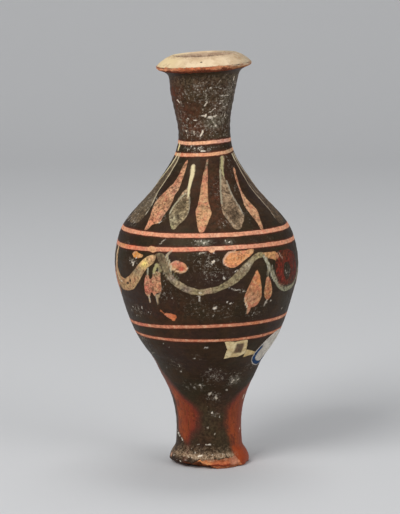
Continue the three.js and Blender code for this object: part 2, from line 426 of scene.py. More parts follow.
def tongue(stations):
    """A tongue hanging down the shoulder, from stations of (height, angle, width), the top one first."""
    z, a, w = (np.array(c, float) for c in zip(*stations))
    mid = curve(row_z, z, a)[:, None]
    half = 0.5 * curve(row_z, z, w)[:, None]
    slope = np.gradient(half[:, 0], path)[:, None]
    side = (np.abs(turn(PHI - mid)) * ARC - half) / np.sqrt(1 + slope**2)
    sd = np.maximum(side, np.maximum(LL - height_path(z[0]), height_path(z[-1]) - LL))
    return np.where(OUT & (ZZ > 60), sd, 60.0)


def leaf(tip, end, width, widest=0.62, blunt=0.85):
    """A leaf or petal from its point to its round end, both (angle, height)."""
    am, zm = (tip[0] + end[0]) / 2, (tip[1] + end[1]) / 2
    k = float(np.interp(zm, row_z[out_rows], row_r[out_rows])) * math.radians(1)
    tx, ty = (tip[0] - am) * k, height_path(tip[1])
    ex, ey = (end[0] - am) * k, height_path(end[1])
    length = math.hypot(ex - tx, ey - ty)
    cx, cy = (ex - tx) / length, (ey - ty) / length
    x, y = turn(PHI - am) * k - tx, LL - ty
    t = (x * cx + y * cy) / length
    d = np.abs(-x * cy + y * cx)
    tc = np.clip(t, 0.0, 1.0)
    half = 0.5 * width * np.sin(np.pi * tc ** (math.log(0.5) / math.log(widest))) ** blunt
    sd = (d - half) * 0.85
    past = np.where(t < 0, -t * length, np.where(t > 1, (t - 1) * length, 0.0))
    sd = np.where(past > 0, np.hypot(np.maximum(sd, 0), past), sd)
    return np.where(OUT, sd, 60.0)


def ragged(sd, size, amount, seed=0.0):
    return sd + amount * n3(PX / size + seed, PY / size, ZZ / size + seed, 2)


# Outlines of the painter's strokes, each through (angle, height) points.
SHAPES = {
    "swag1": [(-64.8, 75.2), (-61.8, 75.1), (-57.8, 76.1), (-54.0, 77.6), (-50.2, 79.5), (-47.0, 81.6), (-43.5, 83.6), (-40.8, 84.8), (-38.0, 85.7), (-35.2, 86.1), (-33.5, 85.8), (-33.5, 84.7), (-34.2, 83.3), (-36.0, 82.3), (-38.2, 81.4), (-40.2, 80.2), (-42.2, 78.7), (-44.2, 77.0), (-46.8, 75.2), (-49.2, 73.6), (-52.2, 72.1), (-55.5, 71.2), (-61.5, 70.4), (-67.5, 70.1), (-71.8, 70.5), (-74.0, 71.7), (-75.0, 73.2), (-75.2, 74.8), (-76.8, 76.3), (-77.5, 78.3), (-78.8, 80.5), (-79.0, 82.8), (-78.2, 84.7), (-77.0, 85.9), (-74.8, 86.0), (-74.8, 84.6), (-74.8, 83.0), (-74.2, 81.0), (-73.8, 78.9), (-72.0, 77.5), (-70.0, 76.3), (-67.5, 75.4)],
    "swag2": [(-32.8, 86.8), (-32.5, 85.6), (-31.2, 84.1), (-29.5, 82.7), (-28.0, 81.4), (-26.8, 80.1), (-25.2, 78.8), (-23.8, 77.3), (-21.8, 76.0), (-19.8, 74.9), (-17.2, 74.0), (-14.5, 73.1), (-10.8, 72.3), (-6.5, 71.9), (-3.0, 71.8), (-1.5, 72.1), (1.8, 72.5), (6.0, 73.0), (9.2, 73.8), (12.2, 74.5), (15.2, 75.3), (18.5, 76.4), (22.0, 78.1), (24.8, 79.5), (27.2, 81.2), (29.2, 82.8), (31.5, 84.2), (34.8, 84.9), (37.8, 85.1), (39.0, 86.5), (35.2, 87.0), (32.0, 86.4), (29.5, 85.6), (26.8, 84.4), (24.0, 83.3), (21.5, 82.2), (18.8, 80.5), (16.0, 79.1), (13.0, 77.6), (10.0, 76.4), (6.8, 75.4), (3.0, 74.9), (-0.2, 74.5), (-4.0, 74.1), (-5.2, 74.1), (-9.0, 74.8), (-12.2, 75.4), (-14.8, 76.3), (-17.8, 77.5), (-20.5, 78.9), (-21.8, 80.3), (-22.2, 81.9), (-23.2, 83.2), (-24.8, 84.4), (-26.5, 85.7), (-28.5, 86.9)],
    "swag3": [(38.0, 86.0), (39.8, 84.0), (41.5, 81.8), (43.5, 79.7), (45.5, 77.5), (48.2, 75.2), (51.8, 73.1), (57.2, 71.6), (63.0, 71.0), (69.5, 71.3), (73.2, 72.5)],
    "swag3inner": [(38.5, 84.8), (41.0, 81.6), (44.5, 81.6), (45.8, 78.2), (48.8, 74.6)],
    "R1": [(32.8, 80.7), (33.5, 79.6), (34.5, 78.0), (35.2, 75.8), (36.0, 73.7), (36.5, 71.5), (36.8, 69.6), (35.8, 68.1), (34.0, 66.8), (31.8, 66.2), (30.0, 66.0), (29.8, 65.2), (28.8, 64.2), (27.8, 63.1), (27.2, 63.4), (27.2, 64.8), (27.2, 66.1), (26.0, 67.3), (24.8, 68.7), (24.2, 70.1), (24.5, 71.4), (25.5, 73.0), (26.8, 74.8), (28.0, 76.3), (29.2, 77.7), (30.8, 79.5), (31.8, 80.4)],
    "R2": [(40.8, 77.8), (42.0, 76.9), (43.2, 75.3), (44.5, 73.3), (45.5, 71.4), (45.5, 69.8), (44.5, 68.7), (42.5, 68.2), (39.8, 69.6), (38.8, 70.8), (38.5, 72.7), (38.8, 74.6), (39.2, 76.4), (39.8, 77.5)],
    "R2stalk": [(40.5, 77.7), (40.5, 79.1), (41.0, 80.9), (41.0, 82.1)],
    "R2tail": [(42.5, 68.3), (41.0, 67.2), (40.5, 66.1)],
    "leafC": [(31.5, 88.4), (31.0, 87.2), (28.5, 86.2), (26.0, 85.3), (23.5, 84.5), (21.5, 83.5), (18.8, 82.6), (16.5, 82.1), (14.0, 82.3), (12.2, 82.8), (11.0, 83.7), (10.5, 84.3), (11.5, 85.6), (13.0, 86.6), (15.0, 87.6), (17.8, 88.1), (21.5, 88.1), (25.2, 88.2), (28.8, 88.4)],
    "leafD": [(38.2, 86.6), (41.2, 86.6), (44.8, 86.5), (48.5, 86.4), (50.0, 85.9), (53.0, 85.6), (55.0, 85.1), (53.8, 84.2), (52.2, 83.3), (50.0, 82.9), (47.8, 83.3), (45.0, 84.0), (41.8, 84.6), (39.0, 85.3), (38.2, 85.8)],
    "ring": [(50.2, 85.3), (53.2, 86.2), (58.0, 86.4), (65.2, 85.9), (71.2, 84.2), (74.0, 81.9), (75.5, 79.1), (76.5, 76.4), (76.2, 73.8), (70.5, 73.1), (63.8, 72.8), (58.0, 72.8), (53.2, 74.2), (50.0, 76.3), (48.0, 78.6), (47.5, 80.9), (48.2, 83.1)],
    "hole": [(57.2, 81.4), (60.5, 81.5), (63.5, 80.0), (64.0, 77.9), (63.2, 75.9), (61.0, 74.8), (58.0, 75.1), (56.0, 77.4), (55.8, 79.7)],
    "leafB": [(-23.0, 83.0), (-21.5, 83.9), (-19.5, 84.5), (-17.2, 84.5), (-14.8, 84.2), (-12.8, 83.4), (-11.5, 82.2), (-12.0, 81.3), (-13.5, 80.6), (-15.8, 80.2), (-18.2, 80.5), (-20.0, 81.1), (-21.8, 81.7), (-22.8, 82.3)],
    "leafA": [(-53.8, 85.3), (-52.2, 86.1), (-49.5, 86.4), (-47.0, 85.9), (-44.8, 85.6), (-43.2, 85.3), (-44.0, 84.7), (-46.0, 84.3), (-48.5, 83.9), (-51.2, 83.9), (-52.8, 84.5)],
    "pair": [(-40.2, 78.1), (-38.8, 78.5), (-37.8, 78.1), (-37.5, 76.8), (-36.5, 76.5), (-35.5, 76.9), (-35.0, 78.5), (-34.5, 79.6), (-32.2, 79.9), (-30.2, 79.9), (-29.2, 79.1), (-29.2, 77.3), (-29.0, 75.4), (-29.2, 73.6), (-30.0, 72.1), (-30.8, 71.6), (-32.0, 71.9), (-33.2, 71.6), (-34.8, 70.4), (-35.8, 70.7), (-36.2, 71.5), (-37.8, 71.1), (-39.0, 69.9), (-40.5, 70.0), (-41.8, 70.3), (-42.5, 71.5), (-42.5, 73.2), (-42.5, 74.8), (-41.5, 76.3), (-41.0, 77.2)],
    "pairtop1": [(-38.8, 80.7), (-38.5, 79.7), (-38.8, 78.5)],
    "pairtop2": [(-32.0, 82.6), (-33.5, 80.7), (-34.2, 79.7)],
    "pairtop3": [(-30.2, 82.0), (-29.8, 80.9), (-30.0, 80.0)],
    "drip1": [(-40.2, 70.3), (-39.8, 69.1), (-40.2, 67.5)],
    "drip2": [(-33.5, 70.8), (-33.5, 69.3), (-33.5, 67.2)],
    "drip3": [(-30.8, 71.6), (-32.2, 70.1)],
    "chip": [(-32.2, 64.6), (-30.0, 63.7), (-26.8, 63.9), (-24.0, 63.8), (-21.2, 63.2), (-21.8, 62.2), (-23.5, 60.9), (-26.5, 61.5), (-29.2, 62.6), (-31.2, 63.7)],
    "bandstreak": [(-22.5, 88.1), (-24.5, 86.9), (-25.5, 86.2)],
    "T1": [(-32.5, 119.5), (-31.8, 117.3), (-31.5, 114.1), (-32.0, 111.1), (-33.0, 108.5), (-35.0, 107.1), (-34.8, 105.5), (-34.5, 102.6), (-36.2, 100.8), (-37.0, 99.2), (-37.0, 97.9), (-39.2, 97.0), (-43.2, 96.4), (-45.2, 94.8), (-47.8, 94.2), (-48.5, 95.2), (-48.8, 96.9), (-50.2, 99.0), (-53.0, 101.0), (-55.8, 103.4), (-55.5, 105.2), (-52.5, 107.0), (-48.8, 108.9), (-44.2, 110.8), (-41.0, 113.4), (-39.8, 116.1), (-37.2, 118.5)],
    "T2": [(-20.0, 118.3), (-15.8, 117.5), (-15.0, 115.6), (-16.8, 112.1), (-17.5, 109.6), (-17.0, 106.7), (-15.2, 103.8), (-14.8, 101.8), (-16.2, 99.8), (-18.0, 98.5), (-20.2, 97.6), (-23.0, 95.7), (-25.8, 96.1), (-29.5, 98.6), (-32.2, 100.6), (-32.8, 102.2), (-30.2, 104.3), (-28.8, 106.5), (-26.2, 108.2), (-22.5, 110.0), (-21.2, 112.5), (-22.8, 115.0), (-24.2, 117.4)],
    "T2cream": [(-20.0, 117.4), (-19.0, 115.1), (-19.5, 112.5), (-19.8, 109.6), (-18.5, 106.6)],
    "T3": [(6.8, 119.9), (4.8, 118.2), (4.0, 115.6), (3.0, 112.2), (2.8, 108.9), (3.0, 105.5), (4.2, 103.1), (5.0, 101.1), (3.0, 99.5), (1.0, 97.5), (-0.8, 95.6), (-2.5, 94.8), (-4.5, 94.8), (-6.0, 96.6), (-7.5, 99.5), (-8.8, 101.9), (-7.2, 104.3), (-6.0, 107.2), (-5.2, 110.5), (-3.2, 113.9), (0.5, 117.3), (3.2, 119.7)],
    "T4": [(31.5, 121.0), (40.0, 120.9), (34.2, 117.9), (28.5, 115.0), (28.0, 112.0), (29.5, 109.0), (30.8, 106.0), (32.0, 103.1), (33.2, 100.5), (31.8, 98.9), (28.0, 97.0), (25.0, 95.7), (21.2, 95.8), (19.5, 96.8), (17.5, 98.9), (14.8, 101.0), (14.8, 103.8), (16.8, 107.5), (19.2, 111.7), (23.5, 115.9), (27.2, 118.9)],
    "T5": [(51.5, 116.5), (53.8, 115.8), (49.5, 113.2), (46.5, 110.3), (45.8, 107.3), (47.2, 104.6), (50.0, 102.4), (50.2, 100.7), (47.0, 98.3), (44.8, 95.0), (42.5, 94.9), (42.2, 96.8), (41.0, 99.0), (39.5, 101.1), (39.2, 103.6), (42.0, 106.5), (43.8, 109.5), (45.0, 112.5), (48.2, 115.0)],
}

# bands: height all round is a, plus b towards the right and c at the front
bands = Paint()
cosf = np.maximum(np.cos(np.radians(PHI)), 0) ** 2
PINK, PEACH = (214, 142, 110), (228, 160, 126)
for a, b, c, width, colour, wear in [(125.95, 0.57, 0.08, 1.30, (233, 170, 134), 0.16), (121.80, 0.83, -0.25, 1.25, (222, 156, 118), 0.20),
                                     (93.15, 0.485, 0.80, 1.65, (214, 148, 115), 0.14), (87.80, 0.97, 1.45, 1.55, (214, 144, 113), 0.18),
                                     (58.30, 1.32, 0.85, 1.25, (198, 128, 98), 0.26), (53.30, 0.71, 0.0, 1.10, (196, 124, 94), 0.30)]:
    z_band = a + b * np.sin(np.radians(PHI)) + c * cosf + 0.10 * np.sin(np.radians(PHI) * 3 + a) + 0.05 * n1(UX * 6, UY * 6, a)
    w = width * (1 + 0.10 * n2(UX * 9, UY * 9, a / 3, 2))
    bands.add(np.where(OUT, np.abs(LL - height_path(z_band)) - w / 2, 60.0), colour, 1.0, wear)
for at, z0, wide, high, amount, colour in [
        (-20, 126.0, 5, 2, 0.6, (240, 180, 135)), (50, 126.4, 4, 2, 0.8, (216, 160, 148)), (-70, 121.0, 3, 2, 0.8, (236, 176, 120)),
        (-45, 121.4, 3, 2, 0.5, (232, 140, 110)), (20, 121.9, 4, 2, 0.5, (232, 176, 130)), (62, 122.5, 4, 2, 0.9, (186, 156, 122)),
        (-84, 87.0, 2.6, 2, 0.8, (206, 138, 122)), (-72, 87.4, 2.4, 2, 0.5, (190, 140, 98)), (-66, 88.2, 3.0, 1.2, 0.7, (206, 146, 80)),
        (-56, 88.0, 4.5, 1.5, 0.9, (224, 118, 84)), (-37, 88.6, 2.2, 1.6, 0.9, (222, 164, 116)), (-22, 88.8, 4.0, 1.6, 0.6, (222, 138, 106)),
        (-8, 89.2, 3.0, 1.5, 0.7, (216, 120, 98)), (8, 89.3, 4.0, 1.5, 0.8, (236, 186, 150)), (26, 89.4, 5, 1.5, 0.4, (226, 158, 130)),
        (-48, 92.8, 5, 2, 0.5, (222, 140, 108)), (-14, 94.0, 6, 2, 0.5, (220, 138, 108)), (6, 94.2, 3, 1.2, 0.6, (232, 180, 150)), (40, 94.2, 6, 2, 0.5, (206, 140, 116)),
        (-56, 57.6, 3, 1.5, 0.6, (206, 110, 96)), (-25, 58.7, 5, 1.5, 0.4, (204, 122, 96)), (35, 59.6, 4, 1.5, 0.6, (196, 120, 78)), (66, 59.8, 4, 1.5, 0.7, (188, 136, 108)),
        (18, 53.5, 5, 1.5, 0.7, (186, 120, 82)), (60, 53.8, 5, 1.5, 0.5, (176, 120, 88))]:
    bands.tint(blob(at, z0, wide, high, amount), colour)
# the band's lower edge is thickened where the garland's first peak touches it
bands.add(ragged(spot(-36.2, 88.0, 1.9, 1.15), 1.1, 0.3), (220, 164, 118), 1.0, 0.2)
bands.add(ragged(spot(3.5, 88.5, 1.2, 0.8), 1.1, 0.3), (224, 170, 130), 1.0, 0.3)

# tongues of the shoulder: solid orange ones, and pale rubbed ones between them
paint, lines = Paint(), Lines()
for name, colour, cover, wear, warm in [
        ("T1", (205, 149, 112), 0.94, 0.52, 1.0), ("T3", (198, 150, 110), 0.94, 0.42, 1.0), ("T5", (202, 151, 114), 0.94, 0.42, 1.0),
        ("T2", (177, 156, 120), 0.90, 0.62, 0.0), ("T4", (165, 140, 111), 0.88, 0.58, 0.0)]:
    paint.add(ragged(patch(SHAPES[name]), 1.5, 0.20), colour, cover, wear, warm)
on_t1 = blob(-47, 97.5, 4, 2.4)
paint.tint(0.7 * on_t1, (226, 132, 96))
paint.tint(blob(-33, 108, 4, 3.5, 0.6), (212, 162, 134))
paint.tint(blob(-45, 104.5, 3.5, 3.0, 0.4), (196, 150, 104))
paint.fade(blob(-33.5, 103.5, 1.4, 3.0, 0.8), 0.35)
paint.tint(blob(-2, 99.5, 4, 4.0, 0.5), (214, 160, 112))
paint.tint(blob(3, 112, 2.4, 5.0, 0.5), (196, 128, 92))
paint.fade(blob(3.6, 117.8, 2.2, 2.4, 0.85), 0.55)
paint.tint(blob(3.6, 118, 2.2, 2.4, 0.9), (150, 138, 116))
paint.tint(blob(-28, 99, 3.4, 2.6, 0.7), (172, 164, 132))
paint.fade(blob(-29, 98.5, 3.0, 2.6, 0.6), 0.9)
paint.fade(blob(-22.5, 103.2, 2.0, 3.0, 0.8), 0.34)
paint.tint(blob(-22.5, 103.2, 2.0, 3.0, 0.6), (104, 92, 66))
paint.tint(blob(24.5, 101, 2.4, 4.0, 0.8), (100, 84, 66))
paint.fade(blob(24.5, 101, 2.4, 4.0, 0.8), 0.5)
paint.tint(blob(27, 116.5, 3.0, 3.4, 0.7), (164, 156, 128))
paint.fade(blob(27, 116.5, 3.0, 3.4, 0.7), 0.9)
paint.tint(blob(47, 112, 2.4, 4, 0.5), (186, 122, 92))
paint.tint(blob(23.5, 118.5, 2.0, 4.5, 0.9) * (paint.warm < 0.5), (168, 160, 118))
paint.fade(blob(23.5, 118.5, 2.0, 4.5, 0.9) * (paint.warm < 0.5), 0.95)
paint.tint(blob(-51.5, 96.4, 2.2, 1.6, 0.8), (226, 180, 142))
paint.tint(blob(-38.5, 100.0, 2.0, 3.0, 0.5), (184, 128, 110))
paint.tint(blob(-43.5, 101.2, 2.2, 2.4, 0.5), (226, 168, 120))
paint.tint(blob(-2.0, 95.6, 2.4, 1.8, 0.7), (202, 136, 104))
paint.tint(blob(1.4, 113.5, 1.6, 2.6, 0.6), (204, 128, 108))
paint.tint(blob(-27.2, 96.0, 1.8, 1.6, 0.8) * (paint.warm < 0.5), (158, 158, 112))
for name, width, colour, strength in [
        ("T2cream", [1.2, 1.45, 1.2, 0.9, 0.45], (222, 206, 162), 1.0)]:
    lines.add(stroke(SHAPES[name], width), colour, strength)


def edge_line(points, width, colour, strength):
    lines.add(ragged(stroke(points, width), 1.6, 0.16), colour, strength)


edge_line([(-22.8, 107.6), (-26.0, 106.6), (-29.0, 104.8), (-31.4, 102.6), (-31.6, 100.8)], 0.55, (176, 168, 138), 0.75)
edge_line([(-17.2, 106.6), (-15.6, 104.2), (-15.2, 101.8), (-16.8, 99.8)], 0.5, (170, 160, 136), 0.55)
edge_line([(16.0, 104.6), (18.2, 109.0), (21.0, 112.6), (24.0, 116.0)], 0.7, (156, 148, 124), 0.7)
edge_line([(29.2, 112.0), (29.6, 109.0), (31.2, 105.4), (32.6, 102.6), (32.4, 100.2)], 0.5, (166, 154, 132), 0.75)
edge_line([(16.0, 101.0), (19.0, 98.6), (22.0, 96.6)], 0.6, (140, 130, 108), 0.55)
edge_line([(40.4, 101.2), (41.6, 104.6), (43.6, 108.0), (45.0, 111.4)], 0.55, (206, 160, 132), 0.55)

# the rubbed outer tongues are little more than their two pale outlines
left_tongue = [(-58.8, 121.5), (-58.0, 118.8), (-60.5, 116.0), (-61.2, 112.9), (-63.2, 110.2), (-64.5, 107.4), (-61.5, 104.9), (-58.5, 102.4), (-57.0, 99.0),
               (-60.0, 96.3), (-72.0, 95.6), (-84.0, 97.6), (-93.0, 101.0), (-95.0, 104.9), (-91.2, 108.9), (-79.8, 113.6), (-71.8, 118.0), (-66.2, 120.9)]
right_tongue = [(70.0, 121.2), (69.2, 119.0), (68.2, 116.3), (67.0, 113.1), (66.0, 110.0), (67.5, 106.9), (68.8, 103.7), (68.8, 100.6), (67.2, 97.6), (68.0, 95.6),
                (76.0, 95.0), (86.0, 97.4), (93.0, 101.0), (94.0, 105.0), (88.0, 109.5), (82.0, 113.9), (79.2, 117.3), (78.4, 121.0)]
paint.add(ragged(patch(left_tongue), 2.0, 0.25), (134, 114, 88), 0.72, 0.74, 0.0)
paint.add(ragged(patch(right_tongue), 2.0, 0.25), (118, 96, 74), 0.56, 0.66, 0.0)
paint.tint(blob(-64, 103.0, 4.0, 2.6, 0.7), (172, 158, 132))
paint.tint(blob(-78, 101.0, 3.0, 2.4, 0.5), (150, 136, 112))
lines.add(ragged(stroke([(34.0, 120.6), (31.2, 118.6), (28.6, 116.6), (27.4, 114.2)], [1.0, 1.1, 0.9, 0.5]), 1.4, 0.2), (172, 162, 118), 0.8)
edge_line(left_tongue[:9], [0.75, 0.7, 0.6, 0.5, 0.5, 0.45, 0.45, 0.4, 0.3], (196, 180, 146), 0.85)
edge_line(left_tongue[-1:-6:-1], [1.1, 1.0, 0.9, 0.9, 0.8], (214, 200, 158), 0.95)
edge_line(right_tongue[:9], [0.8, 0.7, 0.65, 0.6, 0.6, 0.6, 0.6, 0.55, 0.5], (168, 150, 126), 0.85)
edge_line(right_tongue[-1:-7:-1], [1.2, 1.0, 0.9, 0.9, 0.9, 0.9], (196, 180, 150), 0.95)
edge_line([(-69.0, 124.9), (-69.5, 122.6)], 1.2, (226, 206, 150), 1.0)
edge_line([(67.0, 121.0), (68.0, 118.6)], 1.0, (210, 196, 160), 0.8)
edge_line([(70.0, 110.2), (74.0, 107.2), (76.0, 104.0)], 0.8, (150, 140, 122), 0.5)

ORANGE_SHAPE = [(118.5, 1.1), (112.0, 1.7), (108.0, 3.0), (104.0, 5.2), (101.5, 6.0), (98.5, 4.4), (94.6, 1.2)]
PALE_SHAPE = [(120.9, 1.3), (116.0, 2.0), (111.0, 3.0), (107.0, 4.9), (103.0, 7.2), (100.6, 8.0), (98.0, 5.6), (95.3, 1.8)]


def general(shape, angle, drift, size):
    return tongue([(z, angle + drift * (z - 101) / 18, w * size) for z, w in shape])


for angle, drift, size, colour in [(101, 1.5, 1.0, (198, 142, 106)), (153, -2.0, 1.05, (206, 148, 108)), (-155, 2.0, 0.95, (194, 138, 104)), (-103, 1.0, 1.0, (200, 144, 108))]:
    paint.add(ragged(general(ORANGE_SHAPE, angle, drift, size), 1.6, 0.22), colour, 0.93, 0.40)
for angle, drift, size in [(127, 1.0, 0.95), (178, -1.5, 1.0), (-129, -1.0, 1.0)]:
    sd = general(PALE_SHAPE, angle, drift, size)
    paint.add(ragged(sd, 1.8, 0.2), (124, 113, 92), 0.62, 0.60, 0.0)
    lines.add(np.where(np.abs(sd + 0.3) < 2, np.abs(ragged(sd, 1.8, 0.2) + 0.3) - 0.25, 60.0), (158, 148, 122), 0.5)

# the garland: swags between peaks under the second band
paint.add(ragged(patch(SHAPES["swag1"], reach=10), 1.4, 0.16), (182, 146, 104), 0.94, 0.26, 0.5)
for at, z0, rx, ry, tilt in [(-55.5, 74.9, 0.55, 0.85, -20), (-59.2, 73.5, 1.15, 0.42, 15), (-69.4, 73.4, 0.7, 0.6, 0), (-52.8, 72.7, 0.35, 0.3, 0)]:
    paint.sd = np.maximum(paint.sd, -spot(at, z0, rx, ry, tilt))
paint.tint(blob(-50, 79.6, 3.4, 1.6, 0.9), (126, 112, 88))
paint.tint(blob(-46.5, 78.6, 2.4, 2.0, 0.6), (150, 134, 104))
paint.tint(blob(-42.0, 82.4, 2.0, 1.7, 1.0), (236, 210, 122))
paint.tint(blob(-36.6, 84.8, 1.9, 1.5, 1.0), (236, 190, 140))
paint.tint(blob(-44.5, 77.2, 2.2, 1.0, 0.5), (204, 176, 128))
edge_line([(-75.6, 86.8), (-77.4, 84.0), (-77.6, 81.0), (-76.4, 78.0), (-74.4, 75.8), (-70.6, 73.8), (-66.5, 73.2)], [0.45, 0.45, 0.45, 0.5, 0.5, 0.5, 0.4], (214, 190, 150), 0.9)
paint.add(ragged(patch(SHAPES["swag2"], reach=10), 1.5, 0.16), (172, 156, 120), 0.93, 0.30, 0.1)
paint.tint(blob(-29.5, 84.6, 2.4, 2.0, 1.0), (96, 82, 62))
paint.fade(blob(-30.5, 83.6, 2.4, 2.0, 0.6), 0.7)
paint.tint(blob(-26.0, 81.0, 2.4, 1.8, 0.8), (130, 116, 88))
paint.tint(blob(-23.2, 79.6, 1.6, 1.4, 0.7), (112, 100, 78))
paint.tint(blob(-21.6, 77.8, 1.8, 1.2, 0.8), (172, 152, 142))
paint.tint(blob(-18.0, 76.0, 2.2, 1.5, 0.8), (186, 168, 134))
paint.tint(blob(-12.5, 73.9, 2.6, 1.5, 0.9), (152, 132, 120))
paint.tint(blob(-5.5, 73.0, 3.0, 1.6, 0.7), (162, 146, 104))
paint.tint(blob(0.5, 73.0, 1.6, 1.4, 0.8), (178, 142, 118))
paint.tint(blob(9.5, 75.0, 3.4, 1.6, 0.7), (168, 154, 112))
paint.tint(blob(17.0, 78.3, 2.8, 1.6, 0.8), (146, 134, 100))
paint.tint(blob(23.0, 81.2, 2.6, 1.7, 0.85), (182, 168, 140))
paint.tint(blob(26.8, 82.8, 1.5, 1.2, 0.9), (208, 194, 168))
paint.tint(blob(36.0, 86.0, 3.0, 1.3, 0.8), (178, 166, 118))
paint.dim((ZZ < 89) & (ZZ > 66) & (np.abs(PHI) < 40) & (PHI > -33) & (paint.warm < 0.2), 0.87)
edge_line([(-25.5, 86.0), (-22.9, 83.2), (-21.9, 80.8)], [0.9, 0.8, 0.6], (186, 170, 134), 0.8)
edge_line([(-30.6, 82.8), (-27.6, 80.2), (-24.6, 77.6)], 0.5, (150, 132, 96), 0.6)
paint.add(ragged(stroke(SHAPES["swag3"] + [(79.0, 75.4), (86.0, 80.0), (92.0, 85.2)], [1.5, 1.4, 1.6, 1.7, 1.8, 1.8, 1.8, 1.8, 1.8, 1.8, 1.8, 1.7, 1.6, 1.4], reach=10), 1.6, 0.2),
          (150, 146, 120), 0.9, 0.34, 0.0)
paint.tint(blob(43.2, 80.0, 1.6, 2.2, 0.8), (112, 104, 84))
edge_line([(39.0, 85.2), (41.0, 82.4), (42.4, 80.0), (44.0, 77.4), (46.6, 75.2)], 0.5, (184, 176, 150), 0.8)
edge_line(SHAPES["swag3inner"][2:], 0.5, (180, 170, 142), 0.6)
for start, span, low_z in [(93.5, 61.0, 72.4), (155.5, 59.5, 71.4), (216.0, 59.5, 72.0)]:
    pts = [(start + span * f, 85.8 - (85.8 - low_z) * math.sin(math.pi * f) ** 0.8) for f in np.linspace(0, 1, 11)]
    paint.add(ragged(stroke(pts, [1.6] + [2.2] * 9 + [1.6], reach=10), 2.0, 0.2), (168, 152, 116), 0.92, 0.34, 0.1)

# leaves above the swags and hanging in pairs from its peaks
paint.add(ragged(patch(SHAPES["leafA"]), 1.1, 0.18), (206, 134, 66), 0.96, 0.15)
paint.tint(blob(-45.0, 85.0, 1.4, 0.9, 0.7), (226, 184, 140))
paint.add(ragged(patch(SHAPES["leafB"]), 1.4, 0.12), (198, 150, 104), 0.94, 0.22)
paint.tint(blob(-17.6, 83.8, 2.4, 0.8, 0.9), (206, 122, 108))
paint.tint(blob(-15.4, 81.6, 1.5, 1.2, 0.95), (174, 68, 54))
edge_line([(-22.4, 82.6), (-21.6, 83.7), (-19.6, 84.3), (-17.2, 84.3)], 0.5, (206, 160, 132), 0.7)
edge_line([(-11.8, 82.0), (-12.4, 81.2), (-13.8, 80.7), (-16.0, 80.3), (-18.4, 80.7), (-20.4, 81.3), (-22.2, 82.1)], 0.45, (214, 176, 134), 0.75)
edge_line([(-20.0, 80.0), (-19.0, 78.6), (-17.6, 78.0)], 0.8, (86, 80, 48), 0.6)
paint.add(ragged(patch(SHAPES["leafC"], reach=9), 1.8, 0.14), (222, 150, 98), 0.96, 0.20)
paint.tint(blob(15.5, 83.2, 3.0, 2.0, 0.6), (232, 156, 104))
paint.tint(blob(22.5, 87.4, 4.0, 0.9, 0.7), (196, 132, 96))
paint.tint(blob(30.0, 87.6, 2.0, 1.4, 0.8), (206, 160, 116))
edge_line([(19.0, 88.3), (15.0, 87.8), (12.4, 86.6), (10.9, 84.9), (11.0, 83.8), (12.6, 82.9)], 0.6, (226, 180, 148), 0.7)
lines.add(stroke([(17.0, 87.2), (22.0, 87.0), (27.5, 86.9)], 0.3), (150, 82, 52), 0.5)
paint.add(ragged(patch(SHAPES["leafD"]), 1.4, 0.16), (200, 148, 98), 0.94, 0.30)
paint.tint(blob(52.5, 84.6, 1.8, 1.2, 0.8), (218, 180, 132))
paint.add(ragged(patch(SHAPES["pair"]), 1.3, 0.38), (202, 140, 108), 0.94, 0.46)
paint.tint(blob(-41.0, 72.6, 2.2, 1.8, 0.9), (212, 110, 92))
paint.tint(blob(-39.8, 76.6, 1.4, 1.6, 0.6), (196, 128, 106))
paint.tint(blob(-31.2, 74.0, 2.0, 2.4, 0.5), (208, 152, 104))
paint.tint(blob(-33.0, 79.2, 2.4, 1.0, 0.8), (168, 156, 116))
paint.fade(blob(-35.8, 72.9, 1.2, 0.9, 0.6), 0.5)
for name, width, colour, strength in [("pairtop1", 0.8, (166, 156, 128), 0.8), ("pairtop2", 1.1, (176, 166, 116), 0.8), ("pairtop3", 0.8, (160, 148, 108), 0.7),
                                      ("drip1", [0.9, 0.6, 0.4], (190, 160, 120), 0.9), ("drip2", [0.7, 0.6, 0.5], (190, 164, 128), 0.9), ("drip3", 0.5, (186, 156, 118), 0.7),
                                      ("bandstreak", 0.5, (200, 178, 148), 0.8), ("R2stalk", 0.55, (150, 140, 116), 0.8), ("R2tail", 0.6, (190, 178, 160), 0.7)]:
    lines.add(ragged(stroke(SHAPES[name], width), 1.2, 0.12), colour, strength)
paint.add(ragged(patch(SHAPES["R1"]), 1.6, 0.20), (192, 132, 92), 0.94, 0.24)
paint.tint(blob(33.8, 77.0, 2.0, 3.0, 0.6), (206, 128, 76))
paint.tint(blob(29.0, 69.6, 3.2, 2.8, 0.6), (190, 140, 112))
paint.tint(blob(27.6, 64.6, 1.2, 1.4, 0.8), (176, 152, 128))
edge_line([(24.8, 70.4), (25.2, 68.6), (26.6, 67.0), (27.6, 65.6), (27.4, 63.8)], 0.5, (220, 196, 156), 0.8)
paint.add(ragged(patch(SHAPES["R2"]), 1.5, 0.18), (190, 128, 86), 0.94, 0.26)
paint.tint(blob(41.0, 76.6, 1.2, 1.6, 0.6), (204, 150, 128))
